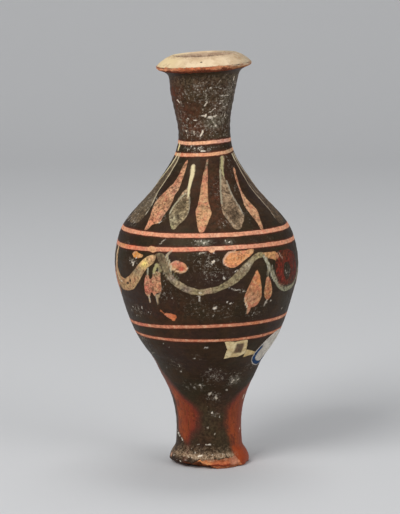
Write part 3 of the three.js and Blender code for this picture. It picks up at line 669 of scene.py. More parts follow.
for peak in (93.0, 155.0, 215.6, 276.0):
    tilt = 1.5 * math.sin(peak)
    paint.add(ragged(leaf((peak - 4.2, 80.6), (peak - 6.6 + tilt, 66.0), 5.0, 0.6, 0.85), 1.4, 0.3, peak), (196, 138, 102), 0.93, 0.36)
    paint.add(ragged(leaf((peak + 3.6, 80.2), (peak + 5.6 + tilt, 67.0), 4.3, 0.58, 0.85), 1.4, 0.3, peak), (202, 140, 106), 0.93, 0.40)
    if 100 < peak:
        paint.add(ragged(leaf((peak - 8.0, 86.6), (peak - 22.0, 84.2), 4.0, 0.6, 0.7), 1.6, 0.25, peak), (212, 148, 102), 0.94, 0.32)
    if peak < 270:
        paint.add(ragged(leaf((peak + 8.0, 86.4), (peak + 20.0, 84.0), 3.6, 0.6, 0.7), 1.6, 0.25, peak), (204, 146, 104), 0.94, 0.34)

# the red flower or ring at the right, with its dark middle
ring = ragged(np.maximum(patch(SHAPES["ring"], reach=9), -patch(SHAPES["hole"])), 1.8, 0.45)
paint.add(ring, (116, 40, 29), 0.92, 0.62, 0.0)
paint.tint(blob(52.5, 76.5, 2.2, 3.4, 0.9) * (ring < 1), (140, 46, 36))
paint.tint(blob(57.0, 84.4, 4.0, 1.6, 0.8) * (ring < 1), (96, 52, 30))
paint.tint(blob(61.0, 82.0, 3.0, 1.6, 0.8) * (ring < 1), (148, 52, 40))
paint.tint(blob(66.0, 74.4, 4.0, 2.0, 0.7) * (ring < 1), (72, 44, 30))
paint.tint(blob(73.0, 82.0, 3.0, 3.0, 0.7) * (ring < 1), (84, 42, 30))
paint.tint(blob(70.0, 78.0, 2.6, 4.0, 0.5) * (ring < 1), (98, 34, 30))
lines.add(stroke([(52.0, 85.8), (55.4, 83.4)], 0.5), (204, 160, 132), 0.7)

# red misfired slip: the stem on both sides of a dark tongue
v_left = curve(ZZ, [0, 9.0, 11.5, 14.1, 16.7, 20.0, 22.5, 24.5, 26.4, 28.5, 31.4, 33.8, 35.3, 36.7, 38.5, 41.5, 45.0, 50.0],
               [-38, -34.0, -29.0, -22.0, -14.5, -10.5, -13.0, -19.0, -28.0, -39.0, -51.0, -56.0, -59.0, -64.0, -68.5, -69.0, -78.0, -94.0])
o_left = curve(ZZ, [0, 7.8, 10.2, 12.7, 14.8, 20.3, 25.6, 28.0, 31.0, 40.0, 50.0], [-40, -45.0, -52.0, -66.0, -71.0, -70.0, -66.0, -74.0, -102.0, -120.0, -124.0])
v_right = curve(ZZ, [0, 5.6, 8.0, 11.3, 14.6, 18.0, 21.3, 23.7, 26.1, 28.7, 30.7, 33.0, 37.0],
                [42, 42.0, 40.0, 36.0, 32.0, 28.0, 27.0, 30.0, 36.0, 46.0, 58.0, 74.0, 98.0])
o_right = curve(ZZ, [0, 12, 24, 31, 38], [132, 126, 140, 130, 110])
ang = turn(PHI)
fire = np.maximum((o_left - ang), (ang - v_left)) * ARC
fire = np.minimum(fire, np.maximum(v_right - ang, ang - o_right) * ARC)
back = np.abs(turn(PHI - 188)) - curve(ZZ, [0, 10, 20, 27], [30, 24, 26, 2])
fire = np.minimum(fire, back * ARC)
fire = np.where(OUT, np.maximum(fire, (ZZ - np.where(PHI < 0, 50.0, 38.5))), 60.0)
fire_dim = smooth((ZZ - 30.0) / 6.0) * OUT
fire_warm = np.clip(blob(-60, 21, 2.4, 8, 0.9) + blob(-54, 12.5, 2.2, 3.5, 0.8) + blob(-59, 28.0, 1.9, 3.0, 1.0) + blob(47, 11, 4.0, 6, 0.9) + blob(64, 4.0, 9, 3.5, 1.2) + blob(40, 20, 2.4, 4, 0.4), 0, 1) * OUT
foot_red = np.clip(blob(68, 3.6, 7.5, 3.2, 1.3) + blob(52, 6.5, 3.0, 2.0, 0.6), 0, 1) * OUT

# bare orange clay: the chipped foot edge, the lip's flaked edge, and small chips
clay = np.full(PHI.shape, 60.0)
chip_top = curve(ang, [-24, -15, -4, 4, 18, 34, 42, 47, 50, 53, 60], [0.2, 3.3, 4.0, 4.2, 4.0, 4.2, 4.6, 4.0, 3.0, 1.4, -0.5])
foot_clay = np.where(foot_rows, (ZZ - chip_top), 60.0)
foot_clay = np.where((ang < -24) | (ang > 60), 2.0, foot_clay)
clay = np.minimum(clay, ragged(foot_clay, 1.3, 0.40))
broken = np.where((fold > 0.12) & (ZZ < 0.9) & foot_rows, -0.6, 60.0)
clay = np.minimum(clay, broken)
clay = np.minimum(clay, ragged(np.minimum(patch(SHAPES["chip"]), stroke([(-32.6, 64.7), (-30.0, 63.6), (-27.5, 62.9)], 0.7)), 0.9, 0.2))
for at, z0, rx, ry, tilt in [(-78.0, 3.3, 1.2, 0.9, 0), (150.0, 78.0, 1.9, 1.5, 20), (-140.0, 60.0, 1.4, 1.1, 0), (118.0, 99.0, 1.2, 0.9, 0),
                             (172.0, 40.0, 1.8, 1.2, 30), (-112.0, 4.0, 1.8, 1.5, 0)]:
    clay = np.minimum(clay, ragged(spot(at, z0, rx, ry, tilt), 0.9, 0.35))
lip_low = curve(ang, [-180, -120, -88, -60, -30, 0, 30, 52, 75, 110, 150, 180], [-3.0, -3.0, -3.2, -3.6, -4.0, -4.1, -3.8, -3.3, -2.6, -2.8, -3.0, -3.0])
lip_clay = np.maximum(from_edge + 0.05, lip_low - from_edge)
clay = np.minimum(clay, np.where(np.isin(part_of, ["lip"])[:, None], ragged(lip_clay, 1.1, 0.55), 60.0))
cream = np.where(np.isin(part_of, ["lip", "throat"])[:, None], -from_edge - 0.1, 60.0)
near_mouth = np.exp(-((LL - path[mouth_edge] + 0.9) / 1.1) ** 2) * lip_rows * window(ang, -110, 60, 40)

# the colour of bare clay from place to place, with painted shade under the lip's edge and on the broken foot, and a
# painted highlight on the lip's right edge
raw = Paint()
raw.colour[:] = (206, 122, 76)
on_foot, on_lip = foot_rows * 1.0, lip_rows
raw.tint(on_lip * 1.0, (206, 124, 86))
raw.tint(on_lip * window(ang, -84, -34, 20), (234, 156, 114))
raw.tint(on_lip * window(ang, -34, 6, 16) * 0.9, (196, 110, 72))
raw.tint(on_lip * window(ang, 12, 34, 12) * 0.8, (214, 146, 104))
raw.tint(on_lip * window(ang, 34, 170, 16) * 0.95, (180, 134, 92))
# painted shade: the lip's underside darkens to red-brown further in under its edge
raw.tint(on_lip * smooth((-2.0 - from_edge) / 1.2) * (0.55 + 0.45 * n2(UX * 8, UY * 8, 1.0, 2)), (128, 54, 34))
# painted shade: darker again along the flaked edge under the lip
scallop_shade = smooth((-1.9 - from_edge + 1.5 * n1(UX * 9, UY * 9, 3.0, 3)) / 0.5) * on_lip * window(ang, -92, 62, 24)
raw.tint(scallop_shade * 0.85, (100, 44, 28))
raw.tint(on_lip * window(ang, -90, -44, 10) * np.exp(-((from_edge + 0.35) / 0.3) ** 2) * 0.8, (120, 74, 50))
# painted highlight: a pale strip along the right of the lip's upper edge
raw.tint(on_lip * window(ang, 34, 100, 14) * smooth((from_edge + 1.5) / 0.8) * 0.8, (206, 184, 158))
raw.tint(on_foot * window(ang, -16, 4, 8) * window(ZZ, 0.6, 3.4, 1.4), (232, 160, 102))
raw.tint(on_foot * window(ang, 4, 34, 8), (188, 104, 66))
raw.tint(on_foot * window(ang, -2, 44, 10) * window(ZZ + 0.45 * n1(UX * 5, UY * 5, 1.0), 1.0, 1.9, 0.5), (134, 48, 28))
raw.tint(on_foot * window(ang, 34, 50, 8), (202, 134, 104))
raw.tint(on_foot * smooth((0.6 - ZZ) / 0.8) * window(ang, 0, 60, 10), (198, 120, 80))
# painted shade: the broken face under the lifted front left of the foot is darkened towards the floor
raw.tint(np.where((fold > 0.12) & foot_rows & (ang < -14), 1.0, 0.0) * smooth((2.2 - ZZ) / 1.0), (88, 56, 34))
raw.tint(np.where(foot_rows & (ZZ < 0.3), 0.6, 0.0), (150, 84, 54))
raw.tint(blob(-80.0, 3.3, 2.2, 1.6, 0.9), (206, 168, 148))
raw.tint(blob(-23.5, 62.6, 2.2, 1.2, 0.8), (224, 118, 72))
raw.tint(blob(-28.0, 62.8, 2.0, 0.8, 0.7), (210, 132, 110))

# pale dust in the corner above the foot, partly painted light on the foot's upward face and upper edge, and white lime
# deposit: how thick it lies, 0 to 1
# the pale line along the foot's upper edge and the pale front of its flare are dust and partly painted light from above
dust_and_light = np.clip(blob(-62, 5.0, 6, 1.8, 0.40) + blob(-38, 4.8, 8, 0.8, 0.35) + blob(-12, 4.8, 8, 1.2, 0.40) + blob(14, 5.0, 8, 1.4, 0.30) + blob(32, 4.9, 4, 1.0, 0.55)
               + 0.9 * np.exp(-((ZZ - curve(ang, [-75, -54, -37, -25, -12, -3, 6, 19, 37], [4.3, 4.5, 4.8, 4.6, 4.0, 3.9, 3.8, 4.0, 4.3])) / 0.32) ** 2) * window(ang, -58, 8, 10) * foot_only
               + 0.30 * window(ZZ, 3.4, 8.4, 2.4) * window(ang, -70, 40, 20), 0, 1)
dust_and_light = dust_and_light + 0.5 * window(ZZ, 2.0, 7.0, 3.0) * window(turn(PHI), 100, 400, 40)
dust_and_light = dust_and_light + 0.5 * window(ZZ, 2.0, 7.0, 3.0) * smooth((-70 - ang) / 20) + 0.16 * window(ZZ, 148.0, 152.0, 3.0)
dust_and_light = np.clip(dust_and_light, 0, 1) * OUT
lime = 0.03 + 0.10 * smooth(n1(PX / 9, PY / 9, ZZ / 9) + 0.1)
lime = lime + 0.10 * window(ZZ, 128.5, 151.5, 4.0) * window(ang, 8, 84, 24) + 0.05 * window(ZZ, 128, 152, 4.0)
for at, z0, wide, high, much in [
        (-20, 146, 6, 3.5, 0.40), (4, 145.5, 4, 3.5, 0.30), (34, 138, 6, 7, 0.30), (62, 146, 5, 5, 0.40), (52, 134, 4, 4, 0.18), (-48, 141.0, 2.0, 2.6, 0.3),
        (-30, 130, 5, 3, 0.3), (-50, 133, 3, 5, 0.30), (0, 132.5, 3, 4, 0.2), (18, 127.5, 5, 2, 0.12), (-22, 124.0, 5, 1.4, 0.45), (-2, 123.2, 4, 1.2, 0.35),
        (-3, 91.4, 4.0, 1.3, 0.55), (15, 91.4, 2.4, 1.0, 0.40), (0, 84.4, 5.0, 3.0, 0.45), (6, 79.0, 6.0, 3.0, 0.25), (10, 65.5, 9.0, 4.0, 0.26), (-7, 66.0, 5.0, 3.0, 0.20),
        (22, 73.4, 4.0, 1.0, 0.35), (36, 64, 4, 3, 0.3), (-54, 63.0, 5.0, 2.4, 0.40), (-27, 72, 4, 4, 0.30), (-62, 88, 3, 3, 0.3), (-52, 82.4, 3, 1.6, 0.35),
        (-64, 50.0, 4.0, 5.0, 0.40), (-34, 42.0, 4.0, 3.0, 0.28), (-10, 33.3, 3.2, 1.8, 0.40), (9, 28.8, 2.8, 2.4, 0.45), (34, 35.6, 3.4, 3.4, 0.5), (8, 38.0, 6, 4, 0.38),
        (8, 21.4, 2.6, 1.6, 0.5), (-2, 16.4, 1.6, 1.4, 0.35), (58, 42, 5, 4, 0.45), (-8, 46, 4, 2, 0.2), (-30, 33, 4, 3, 0.2), (45, 118, 3, 6, 0.25), (15, 108, 4, 8, 0.22),
        (14, 98, 4, 3, 0.28), (36, 101, 2, 4, 0.25), (-37, 99, 2, 2, 0.35), (-64, 104.0, 4, 4, 0.35), (-66, 96.5, 4, 2, 0.5), (62, 77.0, 2.0, 3.0, 0.45), (40, 109, 2, 2.5, 0.3),
        (150, 120.0, 6.0, 9.0, 0.3), (-150, 66.0, 9.0, 7.0, 0.3), (120, 46.0, 8.0, 6.0, 0.3), (-120, 134.0, 6.0, 8.0, 0.4), (200, 90.0, 8.0, 3.0, 0.35), (130, 142, 7, 6, 0.5)]:
    lime = lime + blob(at, z0, wide, high, much)
lime = np.clip(lime, 0, 1.2) * OUT
haze = np.clip(blob(22, 134.2, 3.0, 1.8, 0.55) + blob(22, 132.0, 2.4, 0.9, 0.4) + blob(-1.5, 91.5, 2.6, 1.0, 0.8) + blob(15.2, 91.5, 1.6, 0.9, 0.5) + blob(34, 35.2, 2.0, 1.6, 0.35)
               + blob(68, 147, 5, 4, 0.08) + blob(42, 140, 5, 5, 0.12), 0, 1) * OUT

# single flakes and threads of lime: how white, how wide in millimetres, and the (angle, height) points each runs through
MARKS = [
    (1, 0.85, [(-54.2, 142.0), (-48.2, 140.9)]), (0.8, 0.53, [(-57.8, 140.2)]), (0.9, 0.46, [(-34.5, 135.0), (-25.0, 134.8), (-13.0, 134.4)]),
    (0.95, 0.59, [(-17.8, 134.6), (-13.0, 134.4)]), (0.5, 0.3, [(-11.8, 133.7), (-2.8, 134.3)]),
    (1, 0.95, [(-2.5, 136.4), (4.2, 136.3), (6.8, 137.1)]), (0.75, 0.42, [(-0.5, 137.7), (0.0, 139.2), (3.8, 140.5), (8.8, 141.8), (5.2, 142.0)]),
    (0.5, 0.34, [(-4.5, 142.9), (0.8, 142.5), (5.8, 143.5), (6.8, 144.3), (3.8, 145.3), (-0.8, 146.2)]), (1, 0.95, [(12.2, 147.0)]),
    (0.7, 0.46, [(12.2, 147.0), (17.2, 147.0), (24.0, 147.0), (35.0, 146.3), (42.5, 146.1)]),
    (0.7, 0.55, [(32.8, 143.8), (42.5, 143.8), (58.0, 143.9)]), (0.5, 0.8, [(26.8, 142.1), (38.8, 141.9), (45.2, 142.2)]),
    (0.75, 0.46, [(6.0, 137.1), (17.0, 138.1), (24.5, 139.1), (33.2, 138.8), (40.8, 139.3), (55.5, 140.2)]), (0.8, 0.72, [(34.2, 141.0)]),
    (0.6, 0.51, [(24.0, 140.4), (29.2, 139.1)]), (0.95, 0.59, [(51.0, 137.1), (50.5, 135.7)]),
    (0.75, 1.01, [(9.0, 135.6), (18.2, 135.8), (28.0, 136.3)]), (0.8, 0.72, [(17.0, 133.9), (23.2, 133.8)]),
    (0.85, 0.72, [(13.0, 132.2), (21.8, 132.4), (33.0, 132.5)]), (0.4, 0.3, [(33.2, 136.3), (37.0, 136.8), (41.8, 136.2), (38.2, 135.6)]),
    (1, 0.72, [(-42.8, 130.1)]), (1, 0.72, [(-39.5, 128.6)]), (1, 0.63, [(-29.2, 130.0)]),
    (1, 0.72, [(-22.2, 130.5), (-23.0, 129.2), (-21.0, 128.8)]), (0.7, 0.42, [(-16.2, 128.6)]), (0.6, 0.38, [(-10.8, 130.2)]),
    (1, 0.8, [(-2.0, 130.6), (-5.0, 129.5), (-8.8, 128.4)]), (0.8, 0.63, [(-18.8, 132.1)]), (0.45, 0.27, [(-32.8, 131.0), (-24.8, 131.7)]),
    (0.7, 0.51, [(-48.2, 133.4), (-45.8, 132.7)]), (0.8, 0.85, [(60.5, 150.2), (60.0, 148.8)]), (0.5, 0.42, [(71.5, 150.3), (80.0, 150.9)]),
    (0.5, 0.42, [(63.5, 147.5), (73.8, 147.5)]), (0.7, 0.59, [(57.0, 146.3)]), (0.75, 0.72, [(-12.8, 148.1)]), (0.4, 0.32, [(-9.8, 149.0)]),
    (0.4, 0.32, [(-16.8, 149.3)]), (0.4, 0.32, [(-3.2, 149.4), (-5.0, 150.0)]), (0.45, 0.3, [(4.0, 150.1), (4.8, 149.1)]),
    (0.4, 0.63, [(-45.2, 150.6)]), (0.45, 0.34, [(28.5, 149.5), (24.8, 148.5), (15.0, 148.1)]), (0.4, 0.3, [(37.0, 152.0), (42.5, 150.6)]),
    (0.75, 0.51, [(-36.0, 137.8)]), (0.45, 0.42, [(-23.2, 141.0)]), (0.4, 0.42, [(-28.8, 141.4)]), (0.5, 0.3, [(61.8, 133.7), (70.0, 134.2)]),
    (0.5, 0.3, [(49.5, 132.4), (44.2, 132.9)]), (0.45, 0.38, [(26.2, 130.5)]), (0.5, 0.34, [(50.8, 129.3), (56.2, 128.3), (63.2, 128.0)]),
    (1, 0.8, [(-29.0, 124.6)]), (1, 0.59, [(-37.0, 123.5), (-37.0, 122.7)]), (1, 0.63, [(-21.0, 123.7)]),
    (0.85, 0.38, [(-5.8, 124.7), (-11.5, 124.1), (-14.8, 123.9), (-10.2, 123.5)]), (0.9, 0.59, [(-7.8, 122.9), (0.0, 122.9), (6.8, 123.5)]),
    (1, 0.68, [(8.8, 122.5)]), (0.6, 0.38, [(-19.2, 122.4)]), (0.4, 0.34, [(14.0, 124.3), (26.5, 124.5)]), (0.9, 0.83, [(-22.0, 70.0)]),
    (0.8, 0.65, [(-61.2, 64.1), (-58.5, 63.5)]), (0.8, 0.58, [(-64.2, 62.3)]), (0.7, 0.51, [(-49.5, 65.0), (-48.8, 63.5)]),
    (0.5, 0.42, [(-59.5, 61.5), (-59.0, 60.8)]), (0.8, 0.35, [(-42.0, 64.4), (-40.2, 62.6)]), (0.5, 0.28, [(-43.2, 63.3), (-42.0, 62.5)]),
    (0.5, 0.58, [(-9.2, 64.6)]), (0.75, 0.55, [(-5.0, 71.5), (-3.8, 69.9)]), (0.8, 0.92, [(-4.0, 73.0)]), (0.7, 0.46, [(-61.2, 86.1)]),
    (0.5, 0.42, [(-61.8, 89.8)]), (0.8, 0.51, [(-28.5, 92.0), (-30.2, 90.7), (-32.2, 89.8)]), (0.8, 0.6, [(-7.2, 91.8), (-4.8, 91.6)]),
    (0.9, 0.79, [(-3.0, 91.2)]), (0.5, 0.37, [(-5.2, 87.5), (-1.2, 88.0)]), (0.6, 0.51, [(-3.2, 86.5)]), (0.5, 0.46, [(-27.0, 76.9), (-25.8, 75.6)]),
    (0.4, 0.28, [(-24.5, 73.8), (-23.0, 72.7)]), (0.9, 0.51, [(-55.2, 82.7), (-52.2, 81.8), (-52.2, 80.7), (-50.2, 82.7), (-48.5, 82.1)]),
    (0.8, 0.35, [(-56.0, 83.5), (-52.8, 83.4), (-49.2, 83.9)]), (0.9, 0.83, [(-3.8, 92.1)]), (1, 1.09, [(-1.5, 91.4)]), (0.8, 0.68, [(1.0, 92.1)]),
    (1, 1.04, [(15.2, 91.4)]), (0.5, 0.52, [(12.2, 92.2), (13.2, 91.9)]), (0.6, 0.47, [(-4.8, 87.2), (-2.8, 87.9), (-0.8, 87.9)]),
    (0.65, 0.89, [(4.8, 87.5)]), (0.6, 0.62, [(-3.0, 86.2)]), (1, 1.3, [(3.2, 84.2), (4.5, 84.6)]), (0.6, 0.52, [(1.0, 85.7)]),
    (0.6, 0.52, [(2.8, 82.8)]), (0.5, 0.42, [(-1.2, 80.6), (0.2, 79.5)]), (0.75, 0.52, [(10.2, 79.7), (10.8, 78.4), (11.5, 77.1)]),
    (0.9, 0.73, [(0.8, 77.3)]), (0.8, 0.62, [(-5.8, 71.9), (-4.2, 69.8)]), (0.5, 0.47, [(6.0, 71.0)]), (1, 0.78, [(12.8, 68.7)]),
    (0.8, 0.57, [(14.8, 68.4), (16.2, 68.2)]), (0.95, 0.89, [(3.8, 66.4), (5.8, 66.9)]), (0.4, 0.78, [(-2.2, 67.5)]), (0.6, 0.52, [(13.8, 66.4)]),
    (0.5, 0.36, [(3.5, 65.0), (4.8, 63.9)]), (0.5, 0.31, [(2.8, 64.4), (3.2, 63.1)]),
    (0.75, 0.47, [(13.5, 74.7), (18.2, 73.5), (22.2, 73.1), (24.5, 72.9)]), (0.9, 0.62, [(17.8, 80.7), (19.5, 81.3)]), (0.5, 0.52, [(32.8, 63.9)]),
    (0.5, 0.52, [(30.0, 64.6), (32.2, 62.1)]), (0.9, 0.68, [(62.2, 63.5)]), (0.7, 0.52, [(40.8, 66.9), (43.5, 67.3), (46.5, 67.6)]),
    (0.6, 0.47, [(57.0, 80.4), (57.5, 78.8), (59.2, 77.1)]), (0.8, 0.9, [(-11.8, 45.8)]), (0.8, 0.62, [(-50.2, 40.1)]),
    (0.7, 0.67, [(-30.5, 41.9), (-30.0, 41.2)]), (0.6, 0.56, [(-31.0, 39.2)]), (0.85, 0.80, [(-12.8, 33.5), (-10.2, 33.5)]), (0.6, 0.45, [(-10.2, 33.5), (-8.8, 32.9)]),
    (0.6, 0.67, [(-18.2, 32.9)]), (0.45, 0.62, [(-28.5, 32.3)]), (0.9, 0.95, [(3.2, 30.3), (1.5, 30.0)]), (0.65, 0.67, [(10.5, 29.0), (13.0, 27.5)]),
    (0.5, 0.5, [(8.0, 28.2)]), (0.75, 0.73, [(25.0, 31.3)]), (0.7, 1.12, [(32.5, 35.2), (30.2, 34.5)]), (1, 0.9, [(38.8, 35.0)]),
    (0.5, 0.67, [(35.0, 36.9)]), (0.5, 0.84, [(1.0, 41.2), (3.5, 40.5)]), (0.35, 0.56, [(8.5, 38.0), (4.5, 37.1)]),
    (0.35, 0.56, [(14.8, 36.3), (11.8, 35.1)]), (0.6, 0.62, [(-2.8, 50.3), (0.5, 50.3)]), (0.55, 0.56, [(-32.8, 49.8)]),
    (0.55, 0.56, [(-37.5, 51.0)]), (1, 0.78, [(69.2, 27.5), (68.0, 26.1)]), (0.5, 0.5, [(-63.8, 44.9), (-55.5, 46.2)]), (1, 0.94, [(5.8, 22.0)]),
    (0.7, 0.71, [(18.5, 20.3)]), (0.9, 0.61, [(-2.5, 15.8)]), (0.55, 0.52, [(0.2, 24.4)]), (0.5, 0.42, [(10.8, 13.7), (9.8, 13.1)]),
    (1, 0.61, [(74.5, 14.1), (67.5, 13.1)]), (1, 0.42, [(-81.0, 13.4), (-73.5, 12.3), (-59.2, 10.8), (-47.8, 8.9)]),
    (0.7, 0.33, [(-21.2, 9.5), (-16.8, 9.5)]), (0.9, 0.42, [(-6.0, 9.5), (3.0, 9.5)]), (0.9, 0.38, [(5.0, 9.5), (8.2, 9.5)]),
    (0.7, 0.61, [(-31.5, 9.7)]), (0.6, 0.38, [(27.2, 9.7), (31.0, 9.7)]), (0.9, 0.9, [(-24.2, 6.1)]), (1, 0.94, [(-17.8, 4.9), (-11.2, 5.4)]),
    (0.9, 1.08, [(-67.5, 3.5)]), (1, 0.85, [(-48.0, 2.4)]), (0.7, 0.52, [(-38.0, 4.7), (-25.2, 4.0)]), (0.8, 0.9, [(5.0, 5.6)]),
    (0.6, 0.47, [(-33.5, 7.7), (-31.0, 7.3)]), (0.6, 0.42, [(-26.8, 7.0)]), (0.5, 0.42, [(20.8, 5.8), (27.5, 5.2)]),
    (0.5, 0.5, [(-73, 96.4), (-69, 98.8)]), (0.6, 0.6, [(-79, 95.4), (-75, 97.6)]), (0.5, 0.5, [(-66, 95.2), (-63.4, 96.8)]), (0.6, 0.5, [(-85, 96.8), (-81, 99.4)]),
    (0.5, 0.4, [(-70, 100.6), (-67, 102.8)]), (0.5, 0.5, [(-76, 98.8), (-72.6, 101.2)]), (0.6, 0.5, [(-62.5, 94.6), (-60.2, 95.8)]), (0.7, 0.5, [(-88, 95.2), (-85, 96.8)]),
    (0.6, 0.4, [(-70, 94.6), (-66, 95.0)]), (0.7, 0.8, [(-37.6, 97.2), (-36.4, 98.0)]), (0.5, 0.4, [(-63, 100.0), (-61.2, 101.4)]), (0.6, 0.5, [(-82, 100.6), (-78.6, 103.0)]),
    (0.6, 0.4, [(-66.5, 104.0), (-64.5, 106.4)]), (0.5, 0.35, [(-76, 103.4), (-72, 106.6)]),
    (0.9, 0.7, [(-47.5, 2.3), (-45.0, 2.2)]), (0.7, 0.5, [(-56.0, 2.5), (-53.5, 2.2)]), (0.8, 0.8, [(-68.5, 3.6), (-66.0, 3.5)]), (0.6, 0.4, [(-38.0, 2.9), (-33.0, 2.7)]),
    (0.8, 0.35, [(160, 100), (170, 92), (174, 84)]), (0.6, 0.35, [(-130, 50), (-120, 44)]), (0.7, 0.4, [(100, 130), (112, 137)]),
    (0.9, 1.1, [(140, 128), (146, 129.6)]), (0.8, 0.9, [(-150, 110)]), (1.0, 1.2, [(-128, 70), (-122, 71)]), (0.7, 0.5, [(124, 66), (132, 63), (138, 64)]),
]
marks = Lines()
for white, width, pts in MARKS:
    shade = 0.35 + 0.65 * white
    marks.add(ragged(stroke(pts, width * 0.58, steps=6, reach=3.0), 0.75, 0.28), (134 + 88 * shade, 126 + 82 * shade, 112 + 74 * shade), 0.30 + 0.66 * white)
thin_slip = (0.75 * blob(-68, 144.5, 6, 5) + 0.35 * blob(-45, 134, 7, 8) + 0.30 * blob(-20, 137, 6, 3) + 0.42 * blob(10, 108, 8, 12) + 0.2 * blob(8, 99, 8, 6)
             + 0.35 * blob(-22, 130, 5, 3) + 0.25 * blob(28, 139, 4, 6) + 0.20 * blob(-28, 60, 14, 12) + 0.3 * blob(140, 110, 14, 16) + 0.4 * blob(-160, 140, 9, 10)
             + 0.3 * blob(170, 60, 18, 14)) * OUT
neck_tone = (0.90 * window(ZZ, 127.0, 152.0, 3.0) + 0.80 * window(ZZ, 9.0, 27.0, 6.0) + 0.50 * window(ZZ, 95.0, 127.0, 5.0) * window(ang, 2, 20, 6)) * OUT
inside = np.broadcast_to(smooth((LL - path[mouth_edge] - 0.3) / 0.9), PHI.shape)
# how far down the throat, for the inside painted darker with depth as shade
throat_shade = np.broadcast_to(np.clip((LL - path[mouth_edge]) / 30.0, 0, 1), PHI.shape)
# a darker band about 2 to 5 mm down inside the mouth
throat_dark_band = np.clip(window(LL - path[mouth_edge], 2.0, 5.2, 1.6) * (0.6 + 0.6 * n2(UX * 4, UY * 4, 2.0, 2)), 0, 1) * (lip_rows + inner_wall)
dot = spot(-1.3, 155.0, 1, 1)
top_x, top_l = turn(PHI + 3.4) * ARC, LL - np.interp(157.2, row_z[arris:mouth_edge + 1], path[arris:mouth_edge + 1])
dot = np.where(lip_rows > 0, np.hypot(top_x, top_l) - 0.42, 60.0)


# ------------------------------------------------------------------------------------ the mesh
def linear(colour):
    """Screen colour, 0 to 255, as the shader's linear values."""
    c = np.asarray(colour, float) / 255
    return np.where(c <= 0.0404, c / 12.92, ((np.maximum(c, 0) + 0.055) / 1.055) ** 2.4)


def rgb(r, g, b):
    return tuple(float(v) for v in linear((r, g, b))) + (1.0,)


def grid_mesh(name, X, Y, Z, fields, colours):
    """The lathe grid as one closed mesh. The first and last rows are on the axis, so they shrink to one vertex each."""
    n_rows, n_cols = X.shape
    mid = np.stack([X, Y, Z], -1)[1:-1].reshape(-1, 3)
    first = np.array([[X[0].mean(), Y[0].mean(), Z[0].mean()]])
    last = np.array([[X[-1].mean(), Y[-1].mean(), Z[-1].mean()]])
    co = np.vstack([mid, first, last]) * MM
    base = np.arange(n_rows - 2)[:, None] * n_cols
    j, k = np.arange(n_cols), (np.arange(n_cols) + 1) % n_cols
    a, b = base[:-1] + j, base[:-1] + k
    c, d = base[1:] + k, base[1:] + j
    quads = np.stack([a, b, c, d], -1).reshape(-1, 4)
    i_first, i_last = (n_rows - 2) * n_cols, (n_rows - 2) * n_cols + 1
    fan1 = np.stack([np.full(n_cols, i_first), k, j], -1)
    top = (n_rows - 3) * n_cols
    fan2 = np.stack([np.full(n_cols, i_last), top + j, top + k], -1)
    me = bpy.data.meshes.new(name)
    me.from_pydata(co.tolist(), [], quads.tolist() + fan1.tolist() + fan2.tolist())
    me.update()
    me.polygons.foreach_set("use_smooth", np.ones(len(me.polygons), bool))
    for field, values in fields.items():
        v = np.concatenate([values[1:-1].ravel(), [values[0].mean(), values[-1].mean()]]).astype(np.float32)
        me.attributes.new(field, "FLOAT", "POINT").data.foreach_set("value", v)
    for field, values in colours.items():
        v = linear(values)
        v = np.vstack([v[1:-1].reshape(-1, 3), v[0].mean(0)[None], v[-1].mean(0)[None]])
        v = np.hstack([v, np.ones((len(v), 1))]).astype(np.float32)
        me.attributes.new(field, "FLOAT_COLOR", "POINT").data.foreach_set("color", v.ravel())
    # one UV strip: round the bottle across, and along the outline upwards, the outside with most of the height
    share = np.interp(path, [0, path[part_of == "foot"][0], path[arris], path[mouth_edge] + 3, path[part_of == "throat"][-1], path[-1]],
                      [0.004, 0.05, 0.82, 0.90, 0.955, 0.996])
    uv = me.uv_layers.new(name="OFBake")
    edge = np.concatenate([(col_phi + 180) / 360, [1.0]]) * 0.992 + 0.004
    u0, u1 = edge[:-1], edge[1:]
    rows_v = share[1:-1]
    loops = np.empty((n_rows - 3, n_cols, 4, 2))
    loops[..., 0, 0], loops[..., 1, 0], loops[..., 2, 0], loops[..., 3, 0] = u0, u1, u1, u0
    loops[..., 0, 1] = loops[..., 1, 1] = rows_v[:-1, None]
    loops[..., 2, 1] = loops[..., 3, 1] = rows_v[1:, None]
    l1 = np.empty((n_cols, 3, 2))
    l1[:, 0] = np.stack([(u0 + u1) / 2, np.full(n_cols, share[0])], -1)
    l1[:, 1] = np.stack([u1, np.full(n_cols, rows_v[0])], -1)
    l1[:, 2] = np.stack([u0, np.full(n_cols, rows_v[0])], -1)
    l2 = np.empty((n_cols, 3, 2))
    l2[:, 0] = np.stack([(u0 + u1) / 2, np.full(n_cols, share[-1])], -1)
    l2[:, 1] = np.stack([u0, np.full(n_cols, rows_v[-1])], -1)
    l2[:, 2] = np.stack([u1, np.full(n_cols, rows_v[-1])], -1)
    uv.data.foreach_set("uv", np.concatenate([loops.reshape(-1), l1.reshape(-1), l2.reshape(-1)]).astype(np.float32))
    ob = bpy.data.objects.new(name, me)
    bpy.context.scene.collection.objects.link(ob)
    return ob


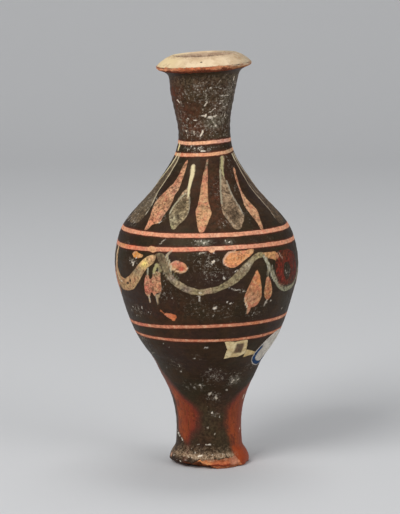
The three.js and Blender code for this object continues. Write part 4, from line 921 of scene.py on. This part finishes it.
FIELDS = {
    "band_sd": bands.sd, "band_wear": bands.wear,
    "paint_sd": paint.sd, "paint_cover": paint.cover, "paint_wear": paint.wear, "paint_warm": paint.warm,
    "line_cover": lines.cover, "mark_cover": marks.cover, "fire_dim": fire_dim, "fire_sd": fire, "fire_warm": fire_warm, "foot_red": foot_red, "clay_sd": clay, "cream_sd": cream,
    "dust_and_light": dust_and_light, "lime": lime, "haze": haze, "thin_slip": thin_slip, "neck_tone": neck_tone, "inside": inside, "throat_shade": throat_shade,
    "throat_dark_band": throat_dark_band, "near_mouth": near_mouth, "dot_sd": dot,
    "lip_right": np.broadcast_to(smooth((ang - 20) / 60) * smooth((175 - ang) / 40), PHI.shape),
    "lip_left": np.broadcast_to(smooth((-20 - ang) / 40) * smooth((ang + 160) / 40), PHI.shape),
}
COLOURS = {"band_colour": bands.colour, "paint_colour": paint.colour, "line_colour": lines.colour, "mark_colour": marks.colour, "raw_colour": raw.colour}
bottle = grid_mesh("unguentarium_painted", X, Y, Z, {k: np.clip(v, -60, 60) for k, v in FIELDS.items()}, COLOURS)


# ------------------------------------------------------------------------------------ two old paper labels, both blank
def on_wall(phi, z, lift):
    """Points on the finished outer wall, lifted off it along its normal."""
    row = np.interp(height_path(z), path[out_rows], out_rows)
    ext = np.concatenate([col_phi, [180.0]])
    col = np.interp(turn(np.asarray(phi, float)), ext, np.arange(AROUND + 1))
    r0, c0 = np.clip(np.floor(row).astype(int), 0, len(rows) - 2), np.floor(col).astype(int)
    fr, fc = row - r0, col - c0
    c0, c1 = c0 % AROUND, (c0 + 1) % AROUND
    out = []
    for g in (X, Y, Z):
        out.append((1 - fr) * ((1 - fc) * g[r0, c0] + fc * g[r0, c1]) + fr * ((1 - fc) * g[r0 + 1, c0] + fc * g[r0 + 1, c1]))
    nr, nz = row_nr[r0], row_nz[r0]
    a = np.radians(phi)
    return np.stack([out[0] + lift * nr * np.sin(a), out[1] - lift * nr * np.cos(a), out[2] + lift * nz], -1)


def paper(name, outline, thick, seed, torn=0.0, rings=8, around=120):
    """A thin closed patch of paper that lies on the wall within an outline of (angle, height) points."""
    p = np.array(outline, float)
    cz = p[:, 1].mean()
    k = float(np.interp(cz, row_z[out_rows], row_r[out_rows])) * math.radians(1)
    x0, y0 = p[:, 0].mean(), height_path(cz)
    px, py = (p[:, 0] - x0) * k, height_path(p[:, 1]) - y0
    cx, cy = px.mean(), py.mean()
    th = np.linspace(0, 2 * np.pi, around, endpoint=False)
    far = np.zeros(around)
    for i in range(len(px)):
        ax, ay, bx, by = px[i] - cx, py[i] - cy, px[(i + 1) % len(px)] - cx, py[(i + 1) % len(px)] - cy
        den = np.cos(th) * (by - ay) - np.sin(th) * (bx - ax)
        den = np.where(np.abs(den) < 1e-9, 1e-9, den)
        t = (ax * (by - ay) - ay * (bx - ax)) / den
        s = (ax * np.sin(th) - ay * np.cos(th)) / den
        hit = (t > 0) & (s >= -1e-6) & (s <= 1 + 1e-6)
        far = np.where(hit, np.maximum(far, t), far)
    far = far + torn * n2(np.cos(th) * 4 + seed, np.sin(th) * 4, seed, 3)
    f = np.linspace(0, 1, rings + 1)[1:]
    gx = cx + np.outer(f, far * np.cos(th))
    gy = cy + np.outer(f, far * np.sin(th))
    zz = np.interp(gy + y0, path[out_rows], row_z[out_rows])
    phi = gx / k + x0
    lift = thick * (1 + 0.5 * n1(gx / 2, gy / 2, seed, 2)) + torn * 0.25 * smooth((f[:, None] - 0.8) / 0.2) * smooth(n3(np.cos(th) * 2, np.sin(th) * 2, seed) + 0.2)[None]
    top = on_wall(phi.ravel(), zz.ravel(), lift.ravel())
    low = on_wall(phi.ravel(), zz.ravel(), np.full(phi.size, -0.05))
    c_phi, c_z = cx / k + x0, np.interp(cy + y0, path[out_rows], row_z[out_rows])
    mid = on_wall(np.array([c_phi, c_phi]), np.array([c_z, c_z]), np.array([thick, -0.05]))
    co = np.vstack([top, low, mid]) * MM
    n = rings * around
    faces = []
    for i in range(around):
        j = (i + 1) % around
        faces.append((2 * n, i, j))
        faces.append((2 * n + 1, n + j, n + i))
        for r in range(rings - 1):
            a, b, c, d = r * around + i, (r + 1) * around + i, (r + 1) * around + j, r * around + j
            faces.append((a, b, c, d))
            faces.append((n + d, n + c, n + b, n + a))
        a, b = (rings - 1) * around + i, (rings - 1) * around + j
        faces.append((a, n + a, n + b, b))
    me = bpy.data.meshes.new(name)
    me.from_pydata(co.tolist(), [], faces)
    me.update()
    me.polygons.foreach_set("use_smooth", np.ones(len(me.polygons), bool))
    inset = np.concatenate([np.tile((1 - f)[:, None] * far[None], 1).ravel()] * 2 + [[far.mean(), far.mean()]])
    side_x = np.concatenate([gx.ravel(), gx.ravel(), [cx, cx]])
    side_y = np.concatenate([gy.ravel(), gy.ravel(), [cy, cy]])
    for field, v in (("inset", inset), ("side_x", side_x), ("side_y", side_y)):
        me.attributes.new(field, "FLOAT", "POINT").data.foreach_set("value", np.asarray(v, np.float32))
    uv = me.uv_layers.new(name="OFBake")
    su, sv = (side_x - side_x.min()) / np.ptp(side_x), (side_y - side_y.min()) / np.ptp(side_y)
    flat = np.zeros((len(me.loops), 2), np.float32)
    for loop in me.loops:
        v = loop.vertex_index
        below = (n <= v < 2 * n) or v == 2 * n + 1
        flat[loop.index] = (0.02 + 0.46 * su[v] + (0.5 if below else 0.0), 0.02 + 0.96 * sv[v])
    uv.data.foreach_set("uv", flat.ravel())
    ob = bpy.data.objects.new(name, me)
    bpy.context.scene.collection.objects.link(ob)
    return ob


torn_paper = paper("paper_torn", [(13.0, 52.7), (17.5, 52.9), (21.8, 52.4), (26.0, 52.9), (32.2, 52.8), (33.4, 49.8), (34.6, 47.0), (30.5, 46.4), (26.8, 45.8),
                                  (20.5, 45.9), (14.3, 45.3), (15.2, 47.2), (16.0, 49.4), (14.2, 51.2)], 0.10, 3.1, 0.22)
scrap_paper = paper("paper_scrap", [(33.6, 45.2), (33.8, 48.7), (38.5, 48.1), (45.6, 47.0), (45.6, 45.9), (39.0, 45.7)], 0.09, 5.7, 0.12, rings=5, around=72)
oval_paper = paper("paper_oval", [(74.5, 54.0), (69.0, 54.1), (64.0, 53.8), (59.5, 52.9), (55.0, 51.6), (51.0, 49.9), (47.8, 48.1), (45.8, 46.2), (46.2, 44.3), (48.8, 42.6),
                                  (53.0, 41.3), (58.5, 40.4), (64.5, 39.9), (70.5, 40.0), (76.0, 41.2), (80.2, 43.6), (82.4, 46.6), (82.4, 49.6), (80.6, 52.0), (78.0, 53.4)], 0.11, 9.2, 0.05)


# ------------------------------------------------------------------------------------ materials
class Graph:
    """A few short calls for making a node tree."""

    def __init__(self, name):
        self.material = bpy.data.materials.new(name)
        self.material.use_nodes = True
        self.tree = self.material.node_tree
        self.tree.nodes.clear()
        self.out = self.tree.nodes.new("ShaderNodeOutputMaterial")
        self.bsdf = self.tree.nodes.new("ShaderNodeBsdfPrincipled")
        self.tree.links.new(self.bsdf.outputs[0], self.out.inputs["Surface"])
        self._coords = None

    def put(self, socket, value):
        if isinstance(value, bpy.types.NodeSocket):
            self.tree.links.new(value, socket)
        elif value is not None:
            socket.default_value = value

    def attr(self, name, out="Fac"):
        n = self.tree.nodes.new("ShaderNodeAttribute")
        n.attribute_type, n.attribute_name = "GEOMETRY", name
        return n.outputs[out]

    def mm(self):
        """The place on the piece, in millimetres."""
        if self._coords is None:
            c = self.tree.nodes.new("ShaderNodeTexCoord")
            self._coords = self.vec("MULTIPLY", c.outputs["Object"], (1000.0, 1000.0, 1000.0))
        return self._coords

    def vec(self, op, a, b):
        n = self.tree.nodes.new("ShaderNodeVectorMath")
        n.operation = op
        self.put(n.inputs[0], a)
        self.put(n.inputs[1], b)
        return n.outputs[0]

    def scale(self, colour, factor):
        """A colour made lighter or darker."""
        n = self.tree.nodes.new("ShaderNodeVectorMath")
        n.operation = "SCALE"
        self.put(n.inputs[0], colour)
        self.put(n.inputs["Scale"], factor)
        return n.outputs[0]

    def m(self, op, a, b=None, c=None, clamp=False):
        n = self.tree.nodes.new("ShaderNodeMath")
        n.operation, n.use_clamp = op, clamp
        for s, v in zip(n.inputs, (a, b, c)):
            self.put(s, v)
        return n.outputs[0]

    def add(self, a, b): return self.m("ADD", a, b)
    def sub(self, a, b): return self.m("SUBTRACT", a, b)
    def mul(self, a, b): return self.m("MULTIPLY", a, b)
    def less(self, a): return self.m("SUBTRACT", 1.0, a)
    def most(self, a, b): return self.m("MAXIMUM", a, b)
    def mad(self, a, b, c): return self.m("MULTIPLY_ADD", a, b, c)

    def step(self, x, lo, hi, a=0.0, b=1.0):
        n = self.tree.nodes.new("ShaderNodeMapRange")
        n.interpolation_type, n.clamp = "SMOOTHSTEP", True
        for key, v in (("Value", x), ("From Min", lo), ("From Max", hi), ("To Min", a), ("To Max", b)):
            self.put(n.inputs[key], v)
        return n.outputs[0]

    def noise(self, size, detail=3.0, rough=0.55, stretch=(1, 1, 1), offset=(0, 0, 0), twist=0.0):
        """Noise whose features are about size millimetres, 0 to 1 around a half."""
        v = self.vec("MULTIPLY", self.vec("ADD", self.mm(), offset), tuple(1.0 / (size * s) for s in stretch))
        n = self.tree.nodes.new("ShaderNodeTexNoise")
        n.noise_dimensions = "3D"
        self.put(n.inputs["Vector"], v)
        n.inputs["Scale"].default_value = 1.0
        n.inputs["Detail"].default_value, n.inputs["Roughness"].default_value = detail, rough
        n.inputs["Distortion"].default_value = twist
        return n.outputs["Fac"]

    def mix(self, f, a, b):
        n = self.tree.nodes.new("ShaderNodeMix")
        n.data_type, n.clamp_factor = "RGBA", True
        self.put(n.inputs[0], f)
        self.put(n.inputs[6], a)
        self.put(n.inputs[7], b)
        return n.outputs[2]

    def blend(self, f, a, b):
        n = self.tree.nodes.new("ShaderNodeMix")
        n.data_type, n.clamp_factor = "FLOAT", True
        self.put(n.inputs[0], f)
        self.put(n.inputs[2], a)
        self.put(n.inputs[3], b)
        return n.outputs[0]

    def bump(self, height_mm, strength=1.0, normal=None):
        n = self.tree.nodes.new("ShaderNodeBump")
        n.inputs["Strength"].default_value, n.inputs["Distance"].default_value = strength, MM
        self.put(n.inputs["Height"], height_mm)
        if normal is not None:
            self.put(n.inputs["Normal"], normal)
        return n.outputs[0]


def pottery():
    g = Graph("slipped_painted_clay")
    fine_n = g.noise(0.55, 3, 0.6)
    fleck = g.noise(0.95, 3, 0.62, offset=(3, 17, 5))
    small = g.noise(1.6, 4, 0.62)
    mid = g.noise(5.0, 4, 0.55)
    large = g.noise(15.0, 3, 0.5)
    streak = g.noise(1.0, 3, 0.55, stretch=(7, 7, 0.55))
    grain = g.noise(0.30, 2, 0.5)
    tall = g.noise(1.5, 3, 0.55, stretch=(0.8, 0.8, 4.5), offset=(9, 2, 4))

    # the slip: nearly black where thick, brown where thin, with greenish and purplish places
    slip = g.mix(g.step(mid, 0.38, 0.62), rgb(41, 28, 17), rgb(51, 36, 23))
    slip = g.mix(g.mul(g.step(large, 0.50, 0.62), 0.6), slip, rgb(41, 37, 23))
    slip = g.mix(g.mul(g.step(large, 0.48, 0.38), 0.5), slip, rgb(47, 32, 30))
    slip = g.mix(g.mul(g.step(streak, 0.50, 0.74), 0.30), slip, rgb(68, 47, 31))
    neck_a = g.attr("neck_tone")
    slip = g.mix(g.mul(neck_a, g.step(fleck, 0.30, 0.66, 0.45, 1.0)), slip, g.mix(g.step(mid, 0.40, 0.60), rgb(66, 47, 33), rgb(60, 50, 34)))
    thin = g.m("MULTIPLY", g.attr("thin_slip"), g.step(small, 0.34, 0.66, 0.4, 1.2), clamp=True)
    slip = g.mix(thin, slip, rgb(88, 44, 28))
    slip = g.scale(slip, g.add(g.mad(small, 1.1, -0.05), g.mad(fleck, g.mad(neck_a, 1.2, 0.6), g.mad(neck_a, -0.6, 0.20))))
    slip = g.mix(g.mul(g.step(grain, 0.60, 0.76), 0.25), slip, rgb(94, 74, 54))

    # red where the kiln's air reached it: purplish at its border, redder and then orange inside
    fire_sd = g.add(g.attr("fire_sd"), g.add(g.mad(mid, 3.0, -1.5), g.add(g.mad(small, 1.8, -0.9), g.mad(tall, 2.0, -1.0))))
    fire_m = g.step(fire_sd, 1.4, -1.2)
    fire_c = g.mix(g.step(fire_sd, -0.6, -3.0), rgb(74, 42, 34), rgb(118, 46, 34))
    fire_c = g.mix(g.mul(g.step(fire_sd, -2.0, -4.2), g.step(tall, 0.38, 0.60, 0.25, 1.0)), fire_c, rgb(140, 62, 30))
    fire_c = g.mix(g.mul(g.attr("fire_warm"), g.step(small, 0.36, 0.60, 0.25, 1.0)), fire_c, rgb(164, 76, 32))
    fire_c = g.mix(g.mul(g.step(tall, 0.50, 0.64), 0.55), fire_c, rgb(78, 38, 27))
    fire_c = g.mix(g.mul(g.step(g.noise(0.9, 3, 0.6, offset=(2, 33, 7)), 0.56, 0.66), 0.5), fire_c, rgb(66, 32, 22))
    fire_c = g.mix(g.mul(g.attr("fire_dim"), 0.75), fire_c, g.mix(g.step(small, 0.36, 0.62), rgb(70, 42, 28), rgb(112, 62, 38)))
    fire_c = g.mix(g.mul(g.attr("foot_red"), g.step(small, 0.30, 0.60, 0.5, 1.0)), fire_c, rgb(160, 64, 28))
    fire_c = g.mix(g.mul(g.step(grain, 0.58, 0.74), 0.40), fire_c, rgb(184, 112, 70))
    col = g.mix(g.mul(fire_m, 0.96), slip, fire_c)

    # the painter's strokes, rubbed thin and flecked
    wob = g.add(g.mad(small, 0.46, -0.23), g.mad(fine_n, 0.26, -0.13))
    rub = g.add(g.mul(small, 0.50), g.mul(fine_n, 0.50))
    paint_sd = g.add(g.attr("paint_sd"), wob)
    paint_in = g.step(paint_sd, 0.16, -0.16)
    wear, warm = g.attr("paint_wear"), g.attr("paint_warm")
    kept = g.step(rub, g.mad(wear, 0.36, 0.22), g.mad(wear, 0.36, 0.37))
    paint_m = g.mul(g.mul(paint_in, g.attr("paint_cover")), g.mad(kept, 0.58, 0.42))
    paint_c = g.scale(g.attr("paint_colour", "Color"), g.add(g.mul(g.less(warm), g.mad(fleck, 1.5, -0.75)), g.add(g.mad(fleck, 1.8, -0.20), g.add(g.mad(small, 1.4, -0.60), g.mad(mid, 0.5, -0.05)))))
    pinkish = g.mul(g.step(g.noise(2.2, 3, 0.6, offset=(6, 1, 13)), 0.50, 0.62), warm)
    paint_c = g.mix(g.mul(pinkish, 0.48), paint_c, rgb(206, 118, 94))
    ochre = g.mul(g.step(g.noise(1.4, 3, 0.6, offset=(21, 8, 3)), 0.52, 0.64), warm)
    paint_c = g.mix(g.mul(ochre, 0.52), paint_c, rgb(226, 186, 138))
    paint_c = g.mix(g.mul(g.step(g.noise(1.2, 3, 0.65, offset=(13, 5, 27)), 0.44, 0.34), 0.60), paint_c, rgb(96, 66, 46))
    col = g.mix(paint_m, col, paint_c)

    # bands, thicker paint, with a thin dark red line along their edges
    band_sd = g.add(g.attr("band_sd"), g.mul(wob, 0.8))
    band_in = g.step(band_sd, 0.13, -0.13)
    col = g.mix(g.mul(g.step(band_sd, 0.75, 0.15), g.step(mid, 0.34, 0.60, 0.25, 0.75)), col, rgb(88, 36, 24))
    band_wear = g.attr("band_wear")
    band_kept = g.step(rub, g.mad(band_wear, 0.40, 0.14), g.mad(band_wear, 0.40, 0.28))
    band_c = g.scale(g.attr("band_colour", "Color"), g.add(g.mad(fleck, 1.4, -0.10), g.mad(small, 1.1, -0.15)))
    band_c = g.mix(g.mul(g.step(g.noise(2.0, 3, 0.6, offset=(14, 4, 2)), 0.52, 0.66), 0.5), band_c, rgb(238, 190, 152))
    band_c = g.mix(g.mul(g.step(g.noise(2.6, 3, 0.6, offset=(11, 3, 5)), 0.54, 0.68), 0.5), band_c, rgb(204, 112, 84))
    band_m = g.mul(band_in, g.mad(band_kept, 0.40, 0.60))
    col = g.mix(band_m, col, band_c)

    # the lip's cream face and the mouth, whose inside is painted darker with depth as shade down the throat
    lip_right, lip_left = g.attr("lip_right"), g.attr("lip_left")
    cream_m = g.step(g.add(g.attr("cream_sd"), g.mad(small, 0.7, -0.35)), 0.2, -0.2)
    cream_c = g.mix(g.step(mid, 0.40, 0.60), rgb(224, 201, 167), rgb(206, 180, 145))
    cream_c = g.mix(g.mul(lip_left, 0.7), cream_c, rgb(230, 208, 160))
    cream_c = g.mix(g.mul(g.step(g.noise(3.2, 4, 0.6, offset=(2, 9, 4)), 0.52, 0.70), 0.55), cream_c, rgb(176, 146, 114))
    cream_c = g.mix(g.mul(lip_right, g.step(small, 0.30, 0.60, 0.35, 1.0)), cream_c, rgb(174, 158, 134))
    cream_c = g.mix(g.mul(g.mul(lip_right, g.step(g.noise(2.2, 3, 0.6, offset=(12, 5, 1)), 0.50, 0.62)), 0.7), cream_c, rgb(164, 124, 82))
    cream_c = g.mix(g.mul(g.step(grain, 0.62, 0.76), 0.30), cream_c, rgb(170, 140, 108))
    cream_c = g.mix(g.m("MULTIPLY", g.attr("near_mouth"), g.step(fleck, 0.36, 0.60, 0.05, 0.60), clamp=True), cream_c, rgb(168, 138, 110))
    inside_a, depth = g.attr("inside"), g.attr("throat_shade")
    # painted shade: pale brownish grey near the top, dark brown deeper in the throat
    mouth_c = g.mix(g.step(depth, 0.02, 0.45), rgb(190, 164, 138), rgb(104, 78, 60))
    mouth_c = g.mix(g.mul(g.step(small, 0.44, 0.60), 0.55), mouth_c, rgb(140, 108, 86))
    mouth_c = g.mix(g.mul(g.attr("throat_dark_band"), g.step(fleck, 0.34, 0.56)), mouth_c, rgb(88, 64, 50))
    cream_c = g.mix(inside_a, cream_c, mouth_c)
    cream_c = g.mix(g.mul(g.step(g.add(g.attr("dot_sd"), g.mad(fine_n, 0.2, -0.1)), 0.16, -0.12), 0.9), cream_c, rgb(58, 44, 34))
    col = g.mix(cream_m, col, cream_c)

    # bare clay where the surface has flaked
    clay_sd = g.add(g.attr("clay_sd"), g.add(g.mad(small, 0.8, -0.4), g.mad(fine_n, 0.5, -0.25)))
    clay_m = g.step(clay_sd, 0.14, -0.14)
    clay_c = g.scale(g.attr("raw_colour", "Color"), g.add(g.mad(fleck, 1.3, -0.10), g.mad(small, 1.2, -0.24)))
    clay_c = g.mix(g.mul(g.step(g.noise(2.0, 3, 0.6, stretch=(2.2, 2.2, 0.5), offset=(5, 1, 9)), 0.52, 0.64), 0.5), clay_c, rgb(146, 72, 44))
    clay_c = g.mix(g.mul(g.step(grain, 0.56, 0.74), 0.35), clay_c, rgb(232, 184, 142))
    col = g.mix(clay_m, col, clay_c)

    # dust, partly painted light on the foot's upward face, and lime
    dust_light_a = g.attr("dust_and_light")
    dust_light_m = g.m("MULTIPLY", dust_light_a, g.step(g.add(fleck, g.mul(dust_light_a, 0.10)), 0.46, 0.60, 0.06, 1.0), clamp=True)
    col = g.mix(g.mul(dust_light_m, 0.80), col, g.mix(g.step(fine_n, 0.40, 0.62), rgb(136, 108, 82), rgb(200, 174, 144)))
    haze_m = g.m("MULTIPLY", g.attr("haze"), g.step(small, 0.36, 0.60, 0.15, 1.0), clamp=True)
    col = g.mix(g.mul(haze_m, 0.85), col, g.mix(g.step(fleck, 0.40, 0.62), rgb(112, 112, 92), rgb(178, 178, 158)))
    lime_a = g.attr("lime")
    vein = g.m("ABSOLUTE", g.sub(g.noise(2.1, 3, 0.6, offset=(31, 7, 2), twist=1.2), 0.5))
    thread = g.mul(g.step(vein, 0.030, 0.006), g.step(g.add(g.noise(2.8, 3, 0.6, offset=(4, 14, 6)), g.mul(lime_a, 0.30)), 0.66, 0.78))
    dots = g.step(g.add(g.noise(0.85, 2, 0.6, offset=(8, 2, 19)), g.mul(lime_a, 0.16)), 0.70, 0.80)
    soft_spots = g.step(g.add(g.noise(1.1, 3, 0.62, offset=(1, 22, 9)), g.mul(lime_a, 0.20)), 0.58, 0.78)
    lime_m = g.most(g.most(g.mul(thread, 0.55), g.mul(dots, 0.70)), g.mul(soft_spots, 0.30))
    lime_m = g.mul(lime_m, g.step(lime_a, 0.02, 0.35))
    col = g.mix(lime_m, col, g.mix(g.step(fine_n, 0.36, 0.64), rgb(214, 204, 188), rgb(150, 138, 122)))
    line_a = g.attr("line_cover")
    line_m = g.m("MULTIPLY", g.step(g.add(line_a, g.mad(fine_n, 0.5, -0.25)), 0.16, 0.62), g.m("MINIMUM", g.mad(line_a, 0.9, 0.2), 1.0), clamp=True)
    line_c = g.scale(g.attr("line_colour", "Color"), g.mad(fleck, 0.5, 0.78))
    col = g.mix(line_m, col, line_c)

    mark_a = g.attr("mark_cover")
    broken = g.add(mark_a, g.add(g.mad(fleck, 1.5, -0.75), g.mad(fine_n, 0.9, -0.45)))
    mark_m = g.m("MULTIPLY", g.mul(g.step(broken, 0.26, 0.66), g.step(mark_a, 0.02, 0.20)), g.m("MINIMUM", g.mad(mark_a, 0.9, 0.25), 1.0), clamp=True)
    mark_c = g.scale(g.attr("mark_colour", "Color"), g.mad(fleck, 0.9, 0.56))
    col = g.mix(mark_m, col, mark_c)
    line_m = g.most(line_m, mark_m)

    g.put(g.bsdf.inputs["Base Color"], col)

    # finish: the slip keeps a soft gloss, paint is dull, clay and lime are dry
    rough = g.blend(g.step(small, 0.3, 0.7), 0.46, 0.60)
    rough = g.blend(fire_m, rough, 0.48)
    rough = g.blend(g.most(paint_m, band_m), rough, 0.74)
    rough = g.blend(cream_m, rough, 0.66)
    rough = g.blend(g.most(g.most(clay_m, dust_light_m), g.most(lime_m, line_m)), rough, 0.90)
    g.put(g.bsdf.inputs["Roughness"], rough)
    g.bsdf.inputs["Specular IOR Level"].default_value = 0.18
    g.bsdf.inputs["Specular Tint"].default_value = (1.0, 0.80, 0.60, 1.0)

    # relief, in millimetres
    relief = g.add(g.mul(streak, 0.07), g.add(g.mul(small, 0.07), g.mul(grain, 0.018)))
    relief = g.add(relief, g.mul(g.most(paint_m, band_m), 0.045))
    relief = g.add(relief, g.mul(g.most(lime_m, line_m), 0.05))
    relief = g.add(relief, g.mul(cream_m, g.mul(fine_n, 0.05)))
    relief = g.sub(relief, g.mul(clay_m, g.mad(fine_n, -0.22, 0.30)))
    g.put(g.bsdf.inputs["Normal"], g.bump(relief, 0.9))
    return g.material


def paper_material(name, base, stained, border=None, holed=0.0):
    """Old paper, foxed and dirty; border is the colour of a printed edge at the lower left. holed: its face is torn away inside."""
    g = Graph(name)
    small, mid, fibre = g.noise(0.9, 4, 0.6), g.noise(2.6, 3, 0.6), g.noise(0.3, 2, 0.6)
    col = g.mix(g.step(mid, 0.38, 0.62), rgb(*base), rgb(*stained))
    col = g.mix(g.mul(g.step(small, 0.50, 0.68), 0.5), col, rgb(*(int(c * 0.72) for c in stained)))
    inset = g.attr("inset")
    if border:
        x, y = g.attr("side_x"), g.attr("side_y")
        low_left = g.step(g.add(g.mul(x, -0.55), g.mul(y, -0.9)), -0.6, 2.2)
        rim = g.mul(g.step(g.add(inset, g.mad(small, 0.5, -0.25)), g.mad(low_left, 1.1, 1.25), g.mad(low_left, 0.9, 0.95)), g.step(g.add(inset, g.mad(small, 0.3, -0.15)), 0.26, 0.50))
        col = g.mix(g.mul(rim, g.mad(low_left, 0.92, 0.06)), col, g.mix(g.step(small, 0.4, 0.62), rgb(*border), rgb(*(int(c * 0.7) for c in border))))
        smudge = g.step(g.noise(0.8, 3, 0.7, stretch=(1.6, 1.6, 0.6), offset=(7, 3, 1)), 0.52, 0.66)
        col = g.mix(g.mul(g.mul(smudge, g.step(inset, 1.7, 2.3)), 0.45), col, rgb(120, 150, 150))
    else:
        x, y = g.add(g.attr("side_x"), g.mad(mid, 1.6, -0.8)), g.add(g.attr("side_y"), g.mad(small, 1.2, -0.6))
        hole = g.mul(g.mul(g.step(x, -0.6, 0.5), g.step(x, 3.9, 2.9)), g.mul(g.step(y, -2.7, -1.5), g.step(y, 3.1, 2.1)))
        hole = g.mul(hole, g.step(g.noise(1.9, 3, 0.65, stretch=(1.0, 1.0, 1.4), offset=(3, 6, 2)), 0.70, 0.60))
        col = g.mix(g.mul(hole, g.mul(holed, 0.92)), col, g.mix(g.step(small, 0.40, 0.60), rgb(52, 38, 30), rgb(96, 68, 54)))
        col = g.mix(g.mul(g.step(inset, 0.5, 0.1), 0.4), col, rgb(160, 140, 100))
    g.put(g.bsdf.inputs["Base Color"], col)
    g.put(g.bsdf.inputs["Roughness"], g.blend(small, 0.82, 0.94))
    g.bsdf.inputs["Specular IOR Level"].default_value = 0.2
    g.put(g.bsdf.inputs["Normal"], g.bump(g.add(g.mul(small, 0.05), g.mul(fibre, 0.02)), 0.8))
    return g.material


bottle.data.materials.append(pottery())
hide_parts("unguentarium_body")
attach(bottle, "root")
torn_paper.data.materials.append(paper_material("old_cream_paper", (228, 208, 162), (206, 180, 132), holed=1.0))
scrap_paper.data.materials.append(paper_material("old_cream_scrap", (222, 200, 150), (196, 168, 116)))
oval_paper.data.materials.append(paper_material("old_white_paper", (212, 204, 192), (184, 174, 162), (8, 58, 104)))
for piece in (torn_paper, scrap_paper, oval_paper):
    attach(piece, "root")


# ------------------------------------------------------------------------------------ studio
def plain(name, color, roughness):
    m = bpy.data.materials.new(name)
    m.use_nodes = True
    b = m.node_tree.nodes["Principled BSDF"]
    b.inputs["Base Color"].default_value = color
    b.inputs["Roughness"].default_value = roughness
    return m


def backdrop():
    """A pale floor that curves up far behind the bottle."""
    prof = [(-4.5, 0.0), (0.9, 0.0)] + [(0.9 + 0.5 * math.sin(t), 0.5 - 0.5 * math.cos(t)) for t in np.linspace(0.1, math.pi / 2, 14)] + [(1.4, 2.2)]
    verts, faces = [], []
    for y, z in prof:
        verts += [(-5.2, y, z), (5.2, y, z)]
    for i in range(len(prof) - 1):
        faces.append((2 * i, 2 * i + 1, 2 * i + 3, 2 * i + 2))
    me = bpy.data.meshes.new("floor")
    me.from_pydata(verts, [], faces)
    me.polygons.foreach_set("use_smooth", [True] * len(faces))
    ob = bpy.data.objects.new("floor", me)
    bpy.context.scene.collection.objects.link(ob)
    me.materials.append(plain("pale_floor", (0.60, 0.605, 0.61, 1.0), 0.9))


def softbox(name, at, size, power, look=(0, 0, 0.08)):
    d = bpy.data.lights.new(name, "AREA")
    d.shape, d.size, d.size_y, d.energy = "RECTANGLE", size[0], size[1], power
    ob = bpy.data.objects.new(name, d)
    ob.location = at
    ob.rotation_euler = (Vector(look) - Vector(at)).to_track_quat("-Z", "Y").to_euler()
    bpy.context.scene.collection.objects.link(ob)
    return ob


backdrop()
softbox("key", (-0.75, -0.95, 1.05), (0.7, 0.7), 15.8)
softbox("fill", (1.0, -0.8, 0.55), (0.8, 0.8), 5.6)
softbox("top", (0.1, 0.35, 1.3), (0.7, 0.5), 4.6)
world = bpy.data.worlds.new("studio")
world.use_nodes = True
world.node_tree.nodes["Background"].inputs["Color"].default_value = (0.95, 0.96, 1.0, 1.0)
world.node_tree.nodes["Background"].inputs["Strength"].default_value = 0.28
bpy.context.scene.world = world
bpy.context.scene.view_settings.view_transform = "Standard"

# the camera looks 9.5 degrees down from a metre away, with a long lens
TILT, FAR = math.radians(9.5), 1.0
aim = Vector((-0.00365, 0.0, 0.08052))
cam = bpy.data.cameras.new("camera")
cam.lens, cam.sensor_width, cam.sensor_fit = 181.8, 36.0, "AUTO"
cam.clip_start, cam.clip_end = 0.05, 20.0
view = bpy.data.objects.new("camera", cam)
view.location = aim + FAR * Vector((0, -math.cos(TILT), math.sin(TILT)))
view.rotation_euler = (math.pi / 2 - TILT, 0, 0)
bpy.context.scene.collection.objects.link(view)
bpy.context.scene.camera = view
